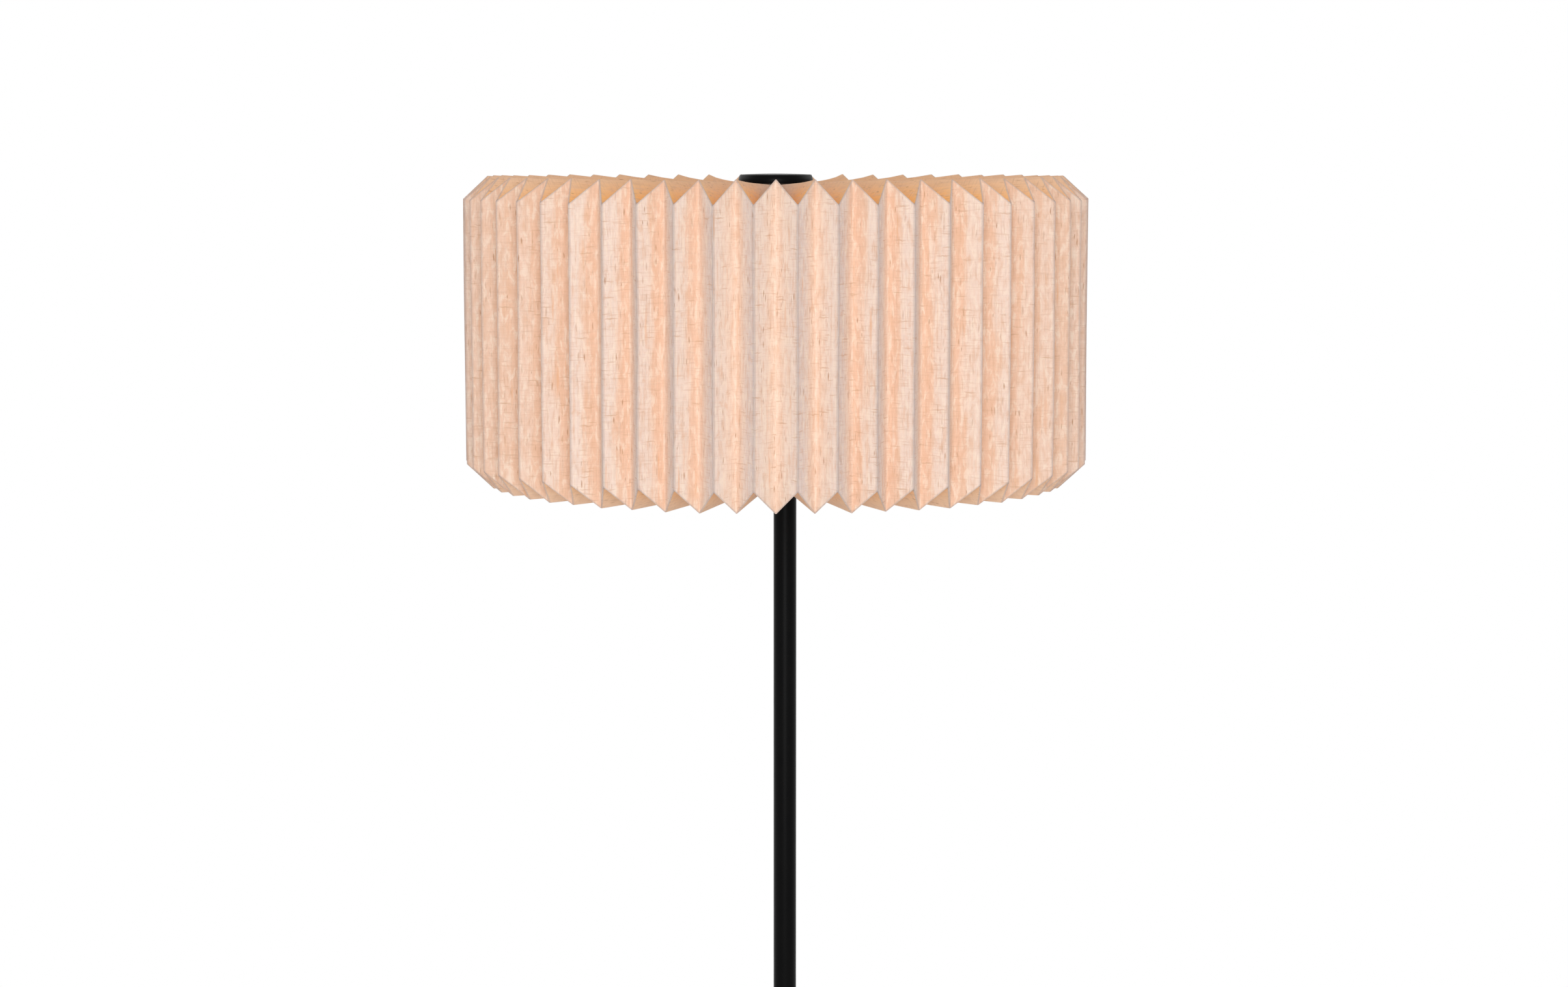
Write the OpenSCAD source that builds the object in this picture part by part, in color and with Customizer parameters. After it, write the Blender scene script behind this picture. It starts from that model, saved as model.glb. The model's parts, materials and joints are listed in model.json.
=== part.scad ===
// Floor lamp with a folded drum shade. The origin is on the floor under the
// shade's axis, +Z points up and -Y is the front.

/* [Height and place] */
// Height of the top of the cap above the floor
lamp_h = 1560; // [1400:10:1700]
// Sideways distance from the shade's axis to the pole's axis
pole_x = 7.5; // [0:0.5:12]

/* [Folded shade] */
// Number of pleats round the shade
pleats = 52; // [40:2:60]
// Radius of the outward folds
shade_r = 250; // [220:1:280]
// Depth of the pleats, from the outward to the inward folds
pleat_depth = 19.5; // [14:0.5:24]
// Length of the outward folds
fold_h = 208; // [160:2:280]
// How far the inward folds reach beyond the outward folds at each end
tip_rise = 18.4; // [12:0.2:24]
// How far the top ridges dip on their way to the hub
ridge_dip = 7; // [3:0.5:12]
// Radius of the round opening in the underside
mouth_r = 110; // [80:1:140]
// Thickness of the folded sheet
sheet_t = 0.5; // [0.4:0.05:0.8]
// Most that a sharp fold may stand proud of the sheet's middle
crease_max = 1; // [0.6:0.1:1.4]
// Thickness of the wire of the hoop round the opening
hoop_wire = 3; // [2:0.2:4]

/* [Hub and cap] */
// Radius at which the pleats end under the cap
hub_r = 24; // [20:1:30]
// Play between the folded sheet's inner ends and the hub's core
hub_gap = 1.5; // [0.5:0.5:3]
// How far the hub's lower flange reaches under the pleats
flange_reach = 16; // [8:1:30]
// Thickness of the hub's lower flange
flange_t = 3; // [2:0.5:6]
// How far the clamping washer reaches over the pleats
washer_reach = 3; // [1:0.5:6]
// Thickness of the clamping washer
washer_t = 1.2; // [0.8:0.1:2]
// Diameter of the cap at its lower edge
cap_d = 60; // [56:1:80]
// Height of the cap's side, seen above the pleats
cap_h = 7.2; // [6.8:0.2:14]
// How much narrower the cap's top edge is than its lower edge, all across
cap_flare = 2.6; // [0:0.2:6]
// Height of the shallow dome on the cap's top
cap_dome = 0.8; // [0.2:0.1:2]
// Thickness of the cap's wall
cap_wall = 1.5; // [1:0.1:1.8]

/* [Harp] */
// Diameter of the harp's wire
harp_wire = 4; // [3:0.2:5]
// Distance between the feet of the harp
harp_feet = 62; // [56:1:76]
// How far the harp's curve is pulled sideways; its loop is a little over half as wide each side
harp_pull = 100; // [88:1:120]
// Length of the straight foot of the harp
harp_foot_h = 32; // [28:1:40]
// Diameter of the stud on the harp
stud_d = 6.4; // [5:0.2:8]
// Diameter of the seat under the shade's hub
seat_d = 22; // [18:1:30]
// Thickness of that seat, drilled across for the wire
seat_t = 6; // [6:0.5:9]
// Length of the locking ferrules
ferrule_l = 16; // [12:1:18]
// Wall of the locking ferrules
ferrule_wall = 1.2; // [0.8:0.1:2]
// Thickness of the strip that carries the harp
saddle_t = 2; // [1.5:0.1:3]
// Width of that strip
saddle_w = 15; // [13:0.5:20]
// Height of the round pegs at the ends of the strip
peg_h = 8; // [5:0.5:10]

/* [Lampholder] */
// Outside diameter of the lampholder
holder_d = 40; // [39:0.5:46]
// Height of the lampholder's domed lower cap
holder_cap_h = 20; // [18:1:26]
// Height of the lampholder's sleeve
holder_sleeve_h = 42; // [38:1:50]
// Wall of the lampholder's outer parts
holder_wall = 1.6; // [1.2:0.1:2]
// Thickness of the insulating liner
liner_t = 1; // [0.6:0.1:1.4]
// Height of the insulating block that carries the contacts
core_h = 12; // [11:0.5:15]
// Wall of the screw shell that takes the bulb
shell_wall = 0.5; // [0.4:0.1:0.8]
// Thickness of the lock nut on the harp's strip
lock_t = 3; // [2:0.5:5]
// Diameter of the switch knob
knob_d = 13; // [10:0.5:18]
// Length of the switch knob
knob_l = 11; // [8:0.5:16]
// Diameter of the switch spindle
spindle_d = 3.2; // [2.4:0.1:4]

/* [Bulb] */
// Diameter of the bulb's screw cap
bulb_cap_d = 26.4; // [26:0.1:26.8]
// Diameter of the bulb's glass
bulb_d = 60; // [50:1:70]
// Length of the bulb from its contact to its crown
bulb_l = 108; // [96:1:120]
// Thickness of the bulb's glass
glass_t = 1; // [0.6:0.1:1.4]

/* [Pole] */
// Outside diameter of the pole
pole_d = 18.5; // [16:0.5:25]
// Wall of the pole's tubes
pole_wall = 1.2; // [1:0.1:1.6]
// Distance from the top of the pole to the shade's middle height
pole_below = 126; // [112:1:140]
// Diameter of the screwed stems
stem_d = 9.8; // [8:0.1:11]
// Bore through the stems for the lead
stem_bore = 6.6; // [5:0.2:7]
// Length of a stem beyond its plug
stem_l = 17; // [15:1:22]
// Length of the plugs and sockets inside the tubes
insert_l = 22; // [19:1:30]

/* [Base] */
// Diameter of the base
base_d = 290; // [240:2:340]
// Height of the base at its rim
base_h = 22; // [20:1:34]
// How far the base rises from its rim to the pole
base_rise = 2; // [0:0.5:6]
// Radius of the base's upper edge
base_round = 6; // [2:0.5:9]
// Thickness of the base's steel cover
cover_t = 1.2; // [0.8:0.1:2]
// Thickness of the soft pad under the base
pad_t = 2.5; // [2:0.5:4]
// Width of the soft pad
pad_w = 60; // [30:1:90]
// Diameter of the collar at the foot of the pole
collar_d = 27; // [24:0.5:44]
// Height of that collar
collar_h = 14; // [8:1:24]
// Bore of the bush where the lead comes in
inlet_bore = 7.2; // [5:0.2:8]

/* [Clearances] */
// Gap between parts that slide or turn on each other, on the radius
running_gap = 0.05; // [0.02:0.01:0.1]
// Gap between faces of parts that move apart
face_gap = 0.3; // [0.2:0.05:0.6]
// Play round a screw or a stem in a plain hole, on the radius
hole_gap = 0.2; // [0.1:0.05:0.4]

/* [Hidden] */
$fn = 96;

// Colours
black_paint = "#17181a";
raw_steel = "#9a9da1";
zinc = "#b9bcbe";
brass = "#c9a552";
linen = "#ecc9b4";
phenolic = "#26221f";
ceramic = "#efebe2";
frosted = "#f6efe2";
foam = "#2a2a2a";

// Folded shade, all heights measured from the shade's middle
fold_a = 180 / pleats;
fold_z = fold_h / 2;
tip_z = fold_z + tip_rise;
valley_r = shade_r - pleat_depth;
panel_w = norm([shade_r * cos(fold_a) - valley_r, shade_r * sin(fold_a)]);
ridge_slope = ridge_dip / (valley_r - hub_r);
top_mid_r = (hub_r + valley_r) / 2;

// Heights of the hub, the cap and the harp's top, from the floor
hub_ridge = tip_z - ridge_dip;
cap_edge_r = cap_d / 2;
cap_low = hub_ridge + ridge_slope * (cap_edge_r - hub_r) + crease_max + face_gap;
shade_z = lamp_h - cap_low - cap_h - cap_dome;
flange_top = shade_z + hub_ridge - fold_drop(hub_r) - crease_max;
hub_low = flange_top - flange_t;
washer_low = shade_z + hub_ridge + crease_max;
washer_top = washer_low + washer_t;
seat_top = hub_low - face_gap;
harp_top = seat_top - seat_t / 2;
cap_low_z = shade_z + cap_low;
cap_ceiling = cap_low_z + cap_h - cap_wall;
insert_low = washer_top + face_gap;

// Pole and its joints, from the floor up
pole_parts = 3;
cover_top = base_h + base_rise;
collar_floor = 4;
pole_low = cover_top + collar_floor;
pole_top = shade_z - pole_below;
part_l = (pole_top - pole_low) / pole_parts;
pole_r = pole_d / 2;
tube_r = pole_r - pole_wall;
stem_r = stem_d / 2;
socket_r = stem_r + hole_gap / 2;

// Base
weight_r = base_d / 2 - cover_t - 6;
weight_top = base_h - cover_t - 0.3;
well_r = 22;
washer_seat = 13.5;
nut_h = 6;
base_washer_t = 2;
bush_z = 9.5;
bush_neck_r = inlet_bore / 2 + 1.6;
bush_flange_r = bush_neck_r + 2.2;
groove_w = 2 * bush_neck_r + 1;

// Lampholder, from the pole's top up
saddle_top = pole_top + saddle_t;
lock_top = saddle_top + lock_t;
sleeve_low = lock_top + holder_cap_h;
sleeve_top = sleeve_low + holder_sleeve_h;
holder_r = holder_d / 2;
liner_r = holder_r - holder_wall;
core_r = liner_r - liner_t - 0.2;
core_top = sleeve_low + core_h;
shell_r = bulb_cap_d / 2 + 0.5;
knob_z = sleeve_low + core_h / 2;
knob_start = holder_r + 4;
screw_r = 2;
screw_x = 9;

// Bulb, from its contact up
contact_z = core_top + 3;
tip_h = 2;
cone_h = 4;
cap_start = contact_z + tip_h + cone_h;
bulb_cap_h = 19;
glass_start = cap_start + bulb_cap_h - 2;
bulb_top = contact_z + bulb_l;
bulb_r = bulb_d / 2;

// Harp's feet
foot_low = saddle_top + peg_h;
foot_top = saddle_top + harp_foot_h;
ferrule_r = harp_wire / 2 + running_gap;

// Height between a ridge and the channel beside it, for a strip of constant width
function fold_drop(r) = sqrt(max(panel_w ^ 2 - (r * sin(fold_a)) ^ 2, 1));
// Height of the top ridges at radius r
function ridge_z(r) = tip_z - ridge_slope * (valley_r - r);
// How far the faces of the sheet stand off a fold line, for panels that meet
// it rising by rise while they run sideways by run
function crease(rise, run) = min(sheet_t / 2 * norm([rise, run]) / run, crease_max);
function top_crease(r) = crease(fold_drop(r), r * sin(fold_a));

// Stations of a fold line as [radius, height, stand-off outwards, stand-off upwards]
wall_crease = crease(pleat_depth, shade_r * sin(fold_a));
valley_line = [
    [hub_r, ridge_z(hub_r), 0, top_crease(hub_r)],
    [top_mid_r, ridge_z(top_mid_r), 0, top_crease(top_mid_r)],
    [valley_r, tip_z, wall_crease, top_crease(valley_r)],
    [valley_r, -tip_z, wall_crease, -top_crease(valley_r)],
    [mouth_r, -tip_z, 0, -top_crease(mouth_r)]];
mountain_line = [
    [hub_r, ridge_z(hub_r) - fold_drop(hub_r), 0, top_crease(hub_r)],
    [top_mid_r, ridge_z(top_mid_r) - fold_drop(top_mid_r), 0, top_crease(top_mid_r)],
    [shade_r, fold_z, wall_crease, top_crease(shade_r)],
    [shade_r, -fold_z, wall_crease, -top_crease(shade_r)],
    [mouth_r, -tip_z + fold_drop(mouth_r), 0, -top_crease(mouth_r)]];
stations = len(valley_line);
folds = 2 * pleats;

// Points run along a fold line, first on the outer face and then on the inner
function fold_points(i) = [for (side = [1, -1]) for (s = i % 2 == 0 ? valley_line : mountain_line)
    let (r = s[0] + side * s[2], a = i * fold_a - 90)
    [r * cos(a), r * sin(a), s[1] + side * s[3]]];
function at(i, side, s) = ((i + folds) % folds) * 2 * stations + side * stations + s;
// Four corners as two triangles
function pair(a, b, c, d) = [[a, b, c], [a, c, d]];
// The panel between fold lines i and i + 1 at station s, split the same way on both
// faces of the sheet, and as its mirror image in the next panel
function panel(i, side, s) = let (
    a = at(i, side, s), b = at(i + 1, side, s), c = at(i + 1, side, s + 1), d = at(i, side, s + 1),
    halves = i % 2 == 0 ? [[a, b, c], [a, c, d]] : [[a, b, d], [b, c, d]])
    side == 0 ? halves : [for (t = halves) [t[0], t[2], t[1]]];

module pleated_shade() {
    points = [for (i = [0 : folds - 1]) each fold_points(i)];
    faces = [for (i = [0 : folds - 1]) each concat(
        [for (side = [0, 1]) for (s = [0 : stations - 2]) each panel(i, side, s)],
        pair(at(i, 1, 0), at(i + 1, 1, 0), at(i + 1, 0, 0), at(i, 0, 0)),
        pair(at(i, 0, stations - 1), at(i + 1, 0, stations - 1),
            at(i + 1, 1, stations - 1), at(i, 1, stations - 1)))];
    color(linen) translate([0, 0, shade_z]) polyhedron(points, faces, convexity = 12);
}

// Wire hoop that keeps the opening round, against the pleats' ends
module shade_hoop() {
    color(zinc) translate([0, 0, shade_z - tip_z + fold_drop(mouth_r) / 2])
        rotate_extrude() translate([mouth_r - hoop_wire / 2, 0]) circle(d = hoop_wire, $fn = 32);
}

// Spool that the pleats close round: a core with a flange under the channels
module shade_hub() {
    color(phenolic) difference() {
        union() {
            translate([0, 0, hub_low]) cylinder(r = hub_r + flange_reach, h = flange_t);
            translate([0, 0, hub_low]) cylinder(r = hub_r - hub_gap, h = washer_low - hub_low);
        }
        translate([0, 0, hub_low - 1])
            cylinder(d = stud_d + 2 * running_gap, h = washer_low - hub_low + 2);
    }
}

module hub_washer() {
    color(zinc) translate([0, 0, washer_low]) difference() {
        cylinder(r = hub_r + washer_reach, h = washer_t);
        translate([0, 0, -1]) cylinder(d = stud_d + 2 * hole_gap, h = washer_t + 2);
    }
}

// Shallow inverted dish with a flared side and a slightly domed top
module shade_cap() {
    top_r = cap_edge_r - cap_flare / 2;
    dome_r = (top_r ^ 2 + cap_dome ^ 2) / (2 * cap_dome);
    color(black_paint) translate([0, 0, cap_low_z]) difference() {
        rotate_extrude() polygon(concat(
            [[0, 0], [cap_edge_r, 0], [cap_edge_r, cap_h / 2]],
            [for (u = [1 : -0.125 : 0.125])
                [top_r * u, cap_h + cap_dome - dome_r + sqrt(dome_r ^ 2 - (top_r * u) ^ 2)]],
            [[0, cap_h + cap_dome]]));
        translate([0, 0, -1]) cylinder(r = cap_edge_r - cap_wall, h = cap_h - cap_wall + 1);
    }
}

// Threaded bush held under the cap's top
module cap_insert() {
    color(brass) translate([0, 0, insert_low]) difference() {
        cylinder(r = stud_d / 2 + 3.5, h = cap_ceiling - insert_low);
        translate([0, 0, -1]) cylinder(d = stud_d + 2 * running_gap, h = cap_h);
    }
}

// Tube of radius r along a list of points in the XZ plane
module wire(path, r) {
    sides = 10;
    last = len(path) - 1;
    ring = [for (i = [0 : last])
        let (t = path[min(i + 1, last)] - path[max(i - 1, 0)],
            n = [-t[1], t[0]] / norm(t))
        for (j = [0 : sides - 1])
        let (c = r * cos(j * 360 / sides), s = r * sin(j * 360 / sides))
        [path[i][0] + n[0] * c, s, path[i][1] + n[1] * c]];
    skin = [for (i = [0 : last - 1]) for (j = [0 : sides - 1])
        let (k = (j + 1) % sides, a = i * sides, b = a + sides)
        each pair(a + j, b + j, b + k, a + k)];
    polyhedron(ring, concat(skin, [[for (j = [0 : sides - 1]) j]],
        [[for (j = [sides - 1 : -1 : 0]) last * sides + j]]), convexity = 6);
}

// Cubic curve through a at u = 0 and d at u = 1
function curve(a, b, c, d, u) =
    a * (1 - u) ^ 3 + 3 * b * u * (1 - u) ^ 2 + 3 * c * u ^ 2 * (1 - u) + d * u ^ 3;

// Half of the harp from the side of the seat down to its foot; side is -1 or 1
function harp_half(side, steps) = let (foot = pole_x + side * harp_feet / 2) concat(
    [for (i = [0 : steps]) curve([side * (seat_d / 2 + 1), harp_top],
        [side * harp_pull, harp_top], [foot, foot_top + 60], [foot, foot_top], i / steps)],
    [[foot, foot_low]]);
function backwards(list) = [for (i = [len(list) - 1 : -1 : 0]) list[i]];

// One bent wire, straight where it runs through the seat
module harp() {
    color(zinc) wire(concat(backwards(harp_half(-1, 22)), harp_half(1, 22)), harp_wire / 2);
}

// Seat and stud on top of the harp, drilled across for the wire
module harp_stud() {
    color(zinc) difference() {
        union() {
            translate([0, 0, seat_top - seat_t]) cylinder(d = seat_d, h = seat_t);
            translate([0, 0, seat_top - 1])
                cylinder(d = stud_d, h = cap_ceiling - 0.6 - seat_top + 1);
        }
        translate([-seat_d, 0, harp_top]) rotate([0, 90, 0])
            cylinder(d = harp_wire, h = 2 * seat_d, $fn = 32);
    }
}

module ferrule(side) {
    color(zinc) translate([pole_x + side * harp_feet / 2, 0, saddle_top + face_gap]) difference() {
        cylinder(r = ferrule_r + ferrule_wall, h = ferrule_l, $fn = 48);
        translate([0, 0, -1]) cylinder(r = ferrule_r, h = ferrule_l + 2, $fn = 48);
    }
}
module ferrule_left() ferrule(-1);
module ferrule_right() ferrule(1);

// Strip clamped on the pole, with a round peg at each end for the harp's feet
module harp_saddle() {
    end_r = saddle_w / 2;
    color(zinc) difference() {
        translate([pole_x, 0, pole_top]) union() {
            translate([-harp_feet / 2, -end_r, 0]) cube([harp_feet, saddle_w, saddle_t]);
            for (side = [-1, 1]) translate([side * harp_feet / 2, 0, 0]) {
                cylinder(r = end_r, h = saddle_t, $fn = 48);
                cylinder(d = harp_wire, h = saddle_t + peg_h, $fn = 32);
            }
        }
        translate([pole_x, 0, pole_top - 1]) cylinder(r = stem_r + hole_gap, h = saddle_t + 2);
    }
}

module harp_lock_nut() {
    color(zinc) translate([pole_x, 0, saddle_top]) difference() {
        cylinder(r = stem_r + 5, h = lock_t, $fn = 6);
        translate([0, 0, -1]) cylinder(r = socket_r, h = lock_t + 2);
    }
}

// Domed lower cap of the lampholder, screwed on the pole's top stem
module holder_cap() {
    boss_r = stem_r + 3;
    color(black_paint) translate([pole_x, 0, lock_top]) difference() {
        rotate_extrude() polygon(concat(
            [[0, 0], [boss_r, 0]],
            [for (a = [0 : 9 : 90]) [boss_r + (holder_r - boss_r) * sin(a),
                4 + (holder_cap_h - 4) * (1 - cos(a))]],
            [[holder_r - holder_wall, holder_cap_h]],
            [for (a = [90 : -9 : 0]) [boss_r + (holder_r - holder_wall - boss_r) * sin(a),
                6 + (holder_cap_h - 6) * (1 - cos(a))]],
            [[boss_r, stem_l - saddle_t - lock_t - 2], [0, stem_l - saddle_t - lock_t - 2]]));
        translate([0, 0, -1]) cylinder(r = socket_r, h = holder_cap_h);
    }
}

// Switch spindle's hole, from the axis out through the front
module spindle_hole(gap) {
    translate([pole_x, 0, knob_z]) rotate([90, 0, 0])
        cylinder(d = spindle_d + 2 * gap, h = holder_r + 5, $fn = 32);
}

module holder_sleeve() {
    color(black_paint) difference() {
        translate([pole_x, 0, sleeve_low]) cylinder(r = holder_r, h = holder_sleeve_h);
        translate([pole_x, 0, sleeve_low - 1]) cylinder(r = liner_r, h = holder_sleeve_h + 2);
        spindle_hole(hole_gap);
    }
}

module holder_liner() {
    color(phenolic) difference() {
        translate([pole_x, 0, sleeve_low]) cylinder(r = liner_r, h = holder_sleeve_h - 4);
        translate([pole_x, 0, sleeve_low - 1])
            cylinder(r = liner_r - liner_t, h = holder_sleeve_h);
        spindle_hole(hole_gap);
    }
}

// Terminal screws stand in the underside of the core
module at_screws() {
    for (side = [-1, 1]) translate([pole_x + side * screw_x, 0, sleeve_low]) children();
}

module holder_core() {
    color(ceramic) difference() {
        union() {
            translate([pole_x, 0, sleeve_low]) cylinder(r = core_r, h = core_h);
            translate([pole_x, 0, core_top - 1]) cylinder(r = 4, h = 2);
        }
        at_screws() translate([0, 0, -1]) cylinder(r = screw_r, h = 6, $fn = 32);
        intersection() {
            spindle_hole(running_gap);
            translate([pole_x - 10, -holder_r, sleeve_low]) cube([20, holder_r - 6, core_h]);
        }
    }
}

module terminal_screws() {
    color(brass) at_screws() {
        translate([0, 0, -2]) difference() {
            cylinder(r = screw_r + 1.6, h = 2, $fn = 32);
            translate([-5, -0.4, -1]) cube([10, 0.8, 1.8]);
        }
        cylinder(r = screw_r, h = 5, $fn = 32);
    }
}

module holder_screw_shell() {
    color(brass) translate([pole_x, 0, core_top]) difference() {
        cylinder(r = shell_r + shell_wall, h = 24);
        translate([0, 0, -1]) cylinder(r = shell_r, h = 26);
    }
}

// Springy tongue in the middle of the core
module holder_contact() {
    color(brass) translate([pole_x, 0, core_top + 1]) cylinder(r = 3, h = 1.6, $fn = 48);
}

// Spindle with a fluted knob, pointing to the front
module switch_knob() {
    flutes = 12;
    color(black_paint) translate([pole_x, 0, knob_z]) rotate([90, 0, 0]) union() {
        translate([0, 0, 7]) cylinder(d = spindle_d, h = knob_start - 6, $fn = 32);
        translate([0, 0, knob_start]) difference() {
            cylinder(d = knob_d, h = knob_l, $fn = 48);
            for (i = [0 : flutes - 1]) rotate(i * 360 / flutes)
                translate([knob_d / 2 + 0.4, 0, -1]) cylinder(r = 1, h = knob_l + 2, $fn = 24);
        }
    }
}

module bulb_contact() {
    color(zinc) translate([pole_x, 0, contact_z]) cylinder(r1 = 3.4, r2 = 4.6, h = tip_h, $fn = 48);
}

module bulb_insulator() {
    color(phenolic) translate([pole_x, 0, contact_z + tip_h])
        cylinder(r1 = 6, r2 = bulb_cap_d / 2 - 2, h = cone_h);
}

module bulb_screw_cap() {
    color(zinc) translate([pole_x, 0, cap_start]) difference() {
        cylinder(d = bulb_cap_d, h = bulb_cap_h);
        translate([0, 0, bulb_cap_h - 2]) cylinder(d = bulb_cap_d - 1, h = 3);
    }
}

// Outline of the bulb's glass, grown inwards by inset: a neck that swells in
// one smooth line into a round crown
function glass_line(inset) =
    let (neck = [bulb_cap_d / 2 - 0.5 - inset, glass_start + 6],
        r = bulb_r - inset,
        ball_z = bulb_top - bulb_r,
        a0 = -38,
        edge = [r * cos(a0), ball_z + r * sin(a0)])
    concat([[neck[0], glass_start + inset], neck],
        [for (u = [0.1 : 0.1 : 0.9])
            curve(neck, neck + [0, 14], edge + 18 * [sin(a0), -cos(a0)], edge, u)],
        [for (i = [0 : 16]) let (a = a0 + (90 - a0) * i / 16)
            [r * cos(a), ball_z + r * sin(a)]]);

module bulb_glass() {
    outer = glass_line(0);
    inner = glass_line(glass_t);
    color(frosted) translate([pole_x, 0, 0])
        rotate_extrude() polygon(concat([[0, glass_start]], outer, backwards(inner),
            [[0, glass_start + glass_t]]));
}

// One tube of the pole; part 0 is the lowest
module pole_tube(part) {
    color(black_paint) translate([pole_x, 0, pole_low + part * part_l]) difference() {
        cylinder(r = pole_r, h = part_l);
        translate([0, 0, -1]) cylinder(r = tube_r, h = part_l + 2);
    }
}
module pole_lower() pole_tube(0);
module pole_middle() pole_tube(1);
module pole_upper() pole_tube(2);

// Threaded sockets in the lower ends of the tubes
module pole_sockets() {
    color(zinc) for (part = [0 : pole_parts - 1])
        translate([pole_x, 0, pole_low + part * part_l]) difference() {
            cylinder(r = tube_r, h = insert_l);
            translate([0, 0, -1]) cylinder(r = socket_r, h = insert_l + 2);
        }
}

// Plugs in the upper ends of the tubes, each with its hollow stem
module pole_plugs() {
    color(zinc) for (part = [1 : pole_parts])
        translate([pole_x, 0, pole_low + part * part_l]) difference() {
            union() {
                translate([0, 0, -insert_l]) cylinder(r = tube_r, h = insert_l);
                translate([0, 0, -1]) cylinder(r = stem_r, h = stem_l + 1);
            }
            translate([0, 0, -insert_l - 1]) cylinder(d = stem_bore, h = insert_l + stem_l + 2);
        }
}

// Turned collar that the pole stands in
module foot_collar() {
    color(black_paint) translate([pole_x, 0, cover_top]) difference() {
        union() {
            cylinder(d = collar_d, h = collar_h - 1.5);
            translate([0, 0, collar_h - 1.5]) cylinder(d1 = collar_d, d2 = collar_d - 3, h = 1.5);
        }
        translate([0, 0, -1]) cylinder(r = stem_r + hole_gap, h = collar_h + 2);
        translate([0, 0, collar_floor]) cylinder(r = pole_r + running_gap, h = collar_h);
    }
}

// Outline of the base's cover in section, grown inwards by inset
module cover_section(inset) {
    r = base_d / 2 - inset;
    round_r = base_round - inset;
    top = base_h - inset;
    polygon(concat(
        [[0, inset > 0 ? -1 : pad_t / 2], [r, inset > 0 ? -1 : pad_t / 2]],
        [for (a = [0 : 9 : 90])
            [r - round_r + round_r * cos(a), top - round_r + round_r * sin(a)]],
        [[collar_d / 2, top + base_rise], [0, top + base_rise]]));
}

module base_cover() {
    color(black_paint) translate([pole_x, 0, 0]) difference() {
        rotate_extrude($fn = 180) cover_section(0);
        rotate_extrude($fn = 180) cover_section(cover_t);
        translate([0, 0, base_h - 4]) cylinder(r = stem_r + hole_gap, h = base_rise + 6);
        translate([0, base_d / 2 - 12, bush_z]) rotate([-90, 0, 0])
            cylinder(r = bush_neck_r, h = 14, $fn = 48);
    }
}

// Iron disc with a well for the nut and a groove for the lead
module base_weight() {
    color(raw_steel) translate([pole_x, 0, 0]) difference() {
        translate([0, 0, pad_t]) cylinder(r = weight_r, h = weight_top - pad_t);
        translate([0, 0, pad_t - 1]) cylinder(r = stem_r + hole_gap, h = base_h);
        translate([0, 0, pad_t - 1]) cylinder(r = well_r, h = washer_seat - pad_t + 1);
        translate([-groove_w / 2, 0, pad_t - 1])
            cube([groove_w, base_d, bush_z + groove_w / 2 - pad_t + 1]);
    }
}

module base_washer() {
    color(zinc) translate([pole_x, 0, washer_seat - base_washer_t]) difference() {
        cylinder(r = well_r - 4, h = base_washer_t);
        translate([0, 0, -1]) cylinder(r = stem_r + hole_gap, h = base_washer_t + 2);
    }
}

module base_nut() {
    color(zinc) translate([pole_x, 0, washer_seat - base_washer_t - nut_h]) difference() {
        cylinder(r = stem_r + 5, h = nut_h, $fn = 6);
        translate([0, 0, -1]) cylinder(r = socket_r, h = nut_h + 2);
    }
}

// Hollow bolt that clamps the base and screws into the lowest socket
module base_stem() {
    low = washer_seat - base_washer_t - nut_h - 1.5;
    color(zinc) translate([pole_x, 0, low]) difference() {
        cylinder(r = stem_r, h = pole_low + insert_l - 3 - low);
        translate([0, 0, -1]) cylinder(d = stem_bore, h = lamp_h / 10);
    }
}

module base_pad() {
    pad_r = weight_r - 1;
    color(foam) translate([pole_x, 0, 0]) difference() {
        cylinder(r = pad_r, h = pad_t);
        translate([0, 0, -1]) cylinder(r = pad_r - pad_w, h = pad_t + 2);
    }
}

// Flanged bush in the back of the cover, where the lead would come in
module lead_bush() {
    color(phenolic) translate([pole_x, base_d / 2, bush_z]) rotate([90, 0, 0]) difference() {
        union() {
            translate([0, 0, -2.5]) cylinder(r1 = bush_flange_r - 1, r2 = bush_flange_r, h = 2.5, $fn = 48);
            cylinder(r = bush_neck_r, h = cover_t + 5, $fn = 48);
        }
        translate([0, 0, -4]) cylinder(d = inlet_bore, h = cover_t + 12, $fn = 48);
    }
}

base_pad();
base_weight();
base_cover();
base_washer();
base_nut();
base_stem();
lead_bush();
foot_collar();
pole_lower();
pole_middle();
pole_upper();
pole_sockets();
pole_plugs();
harp_saddle();
harp_lock_nut();
harp();
harp_stud();
ferrule_left();
ferrule_right();
holder_cap();
holder_sleeve();
holder_liner();
holder_core();
holder_screw_shell();
holder_contact();
terminal_screws();
switch_knob();
bulb_glass();
bulb_screw_cap();
bulb_insulator();
bulb_contact();
pleated_shade();
shade_hoop();
shade_hub();
hub_washer();
shade_cap();
cap_insert();
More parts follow.
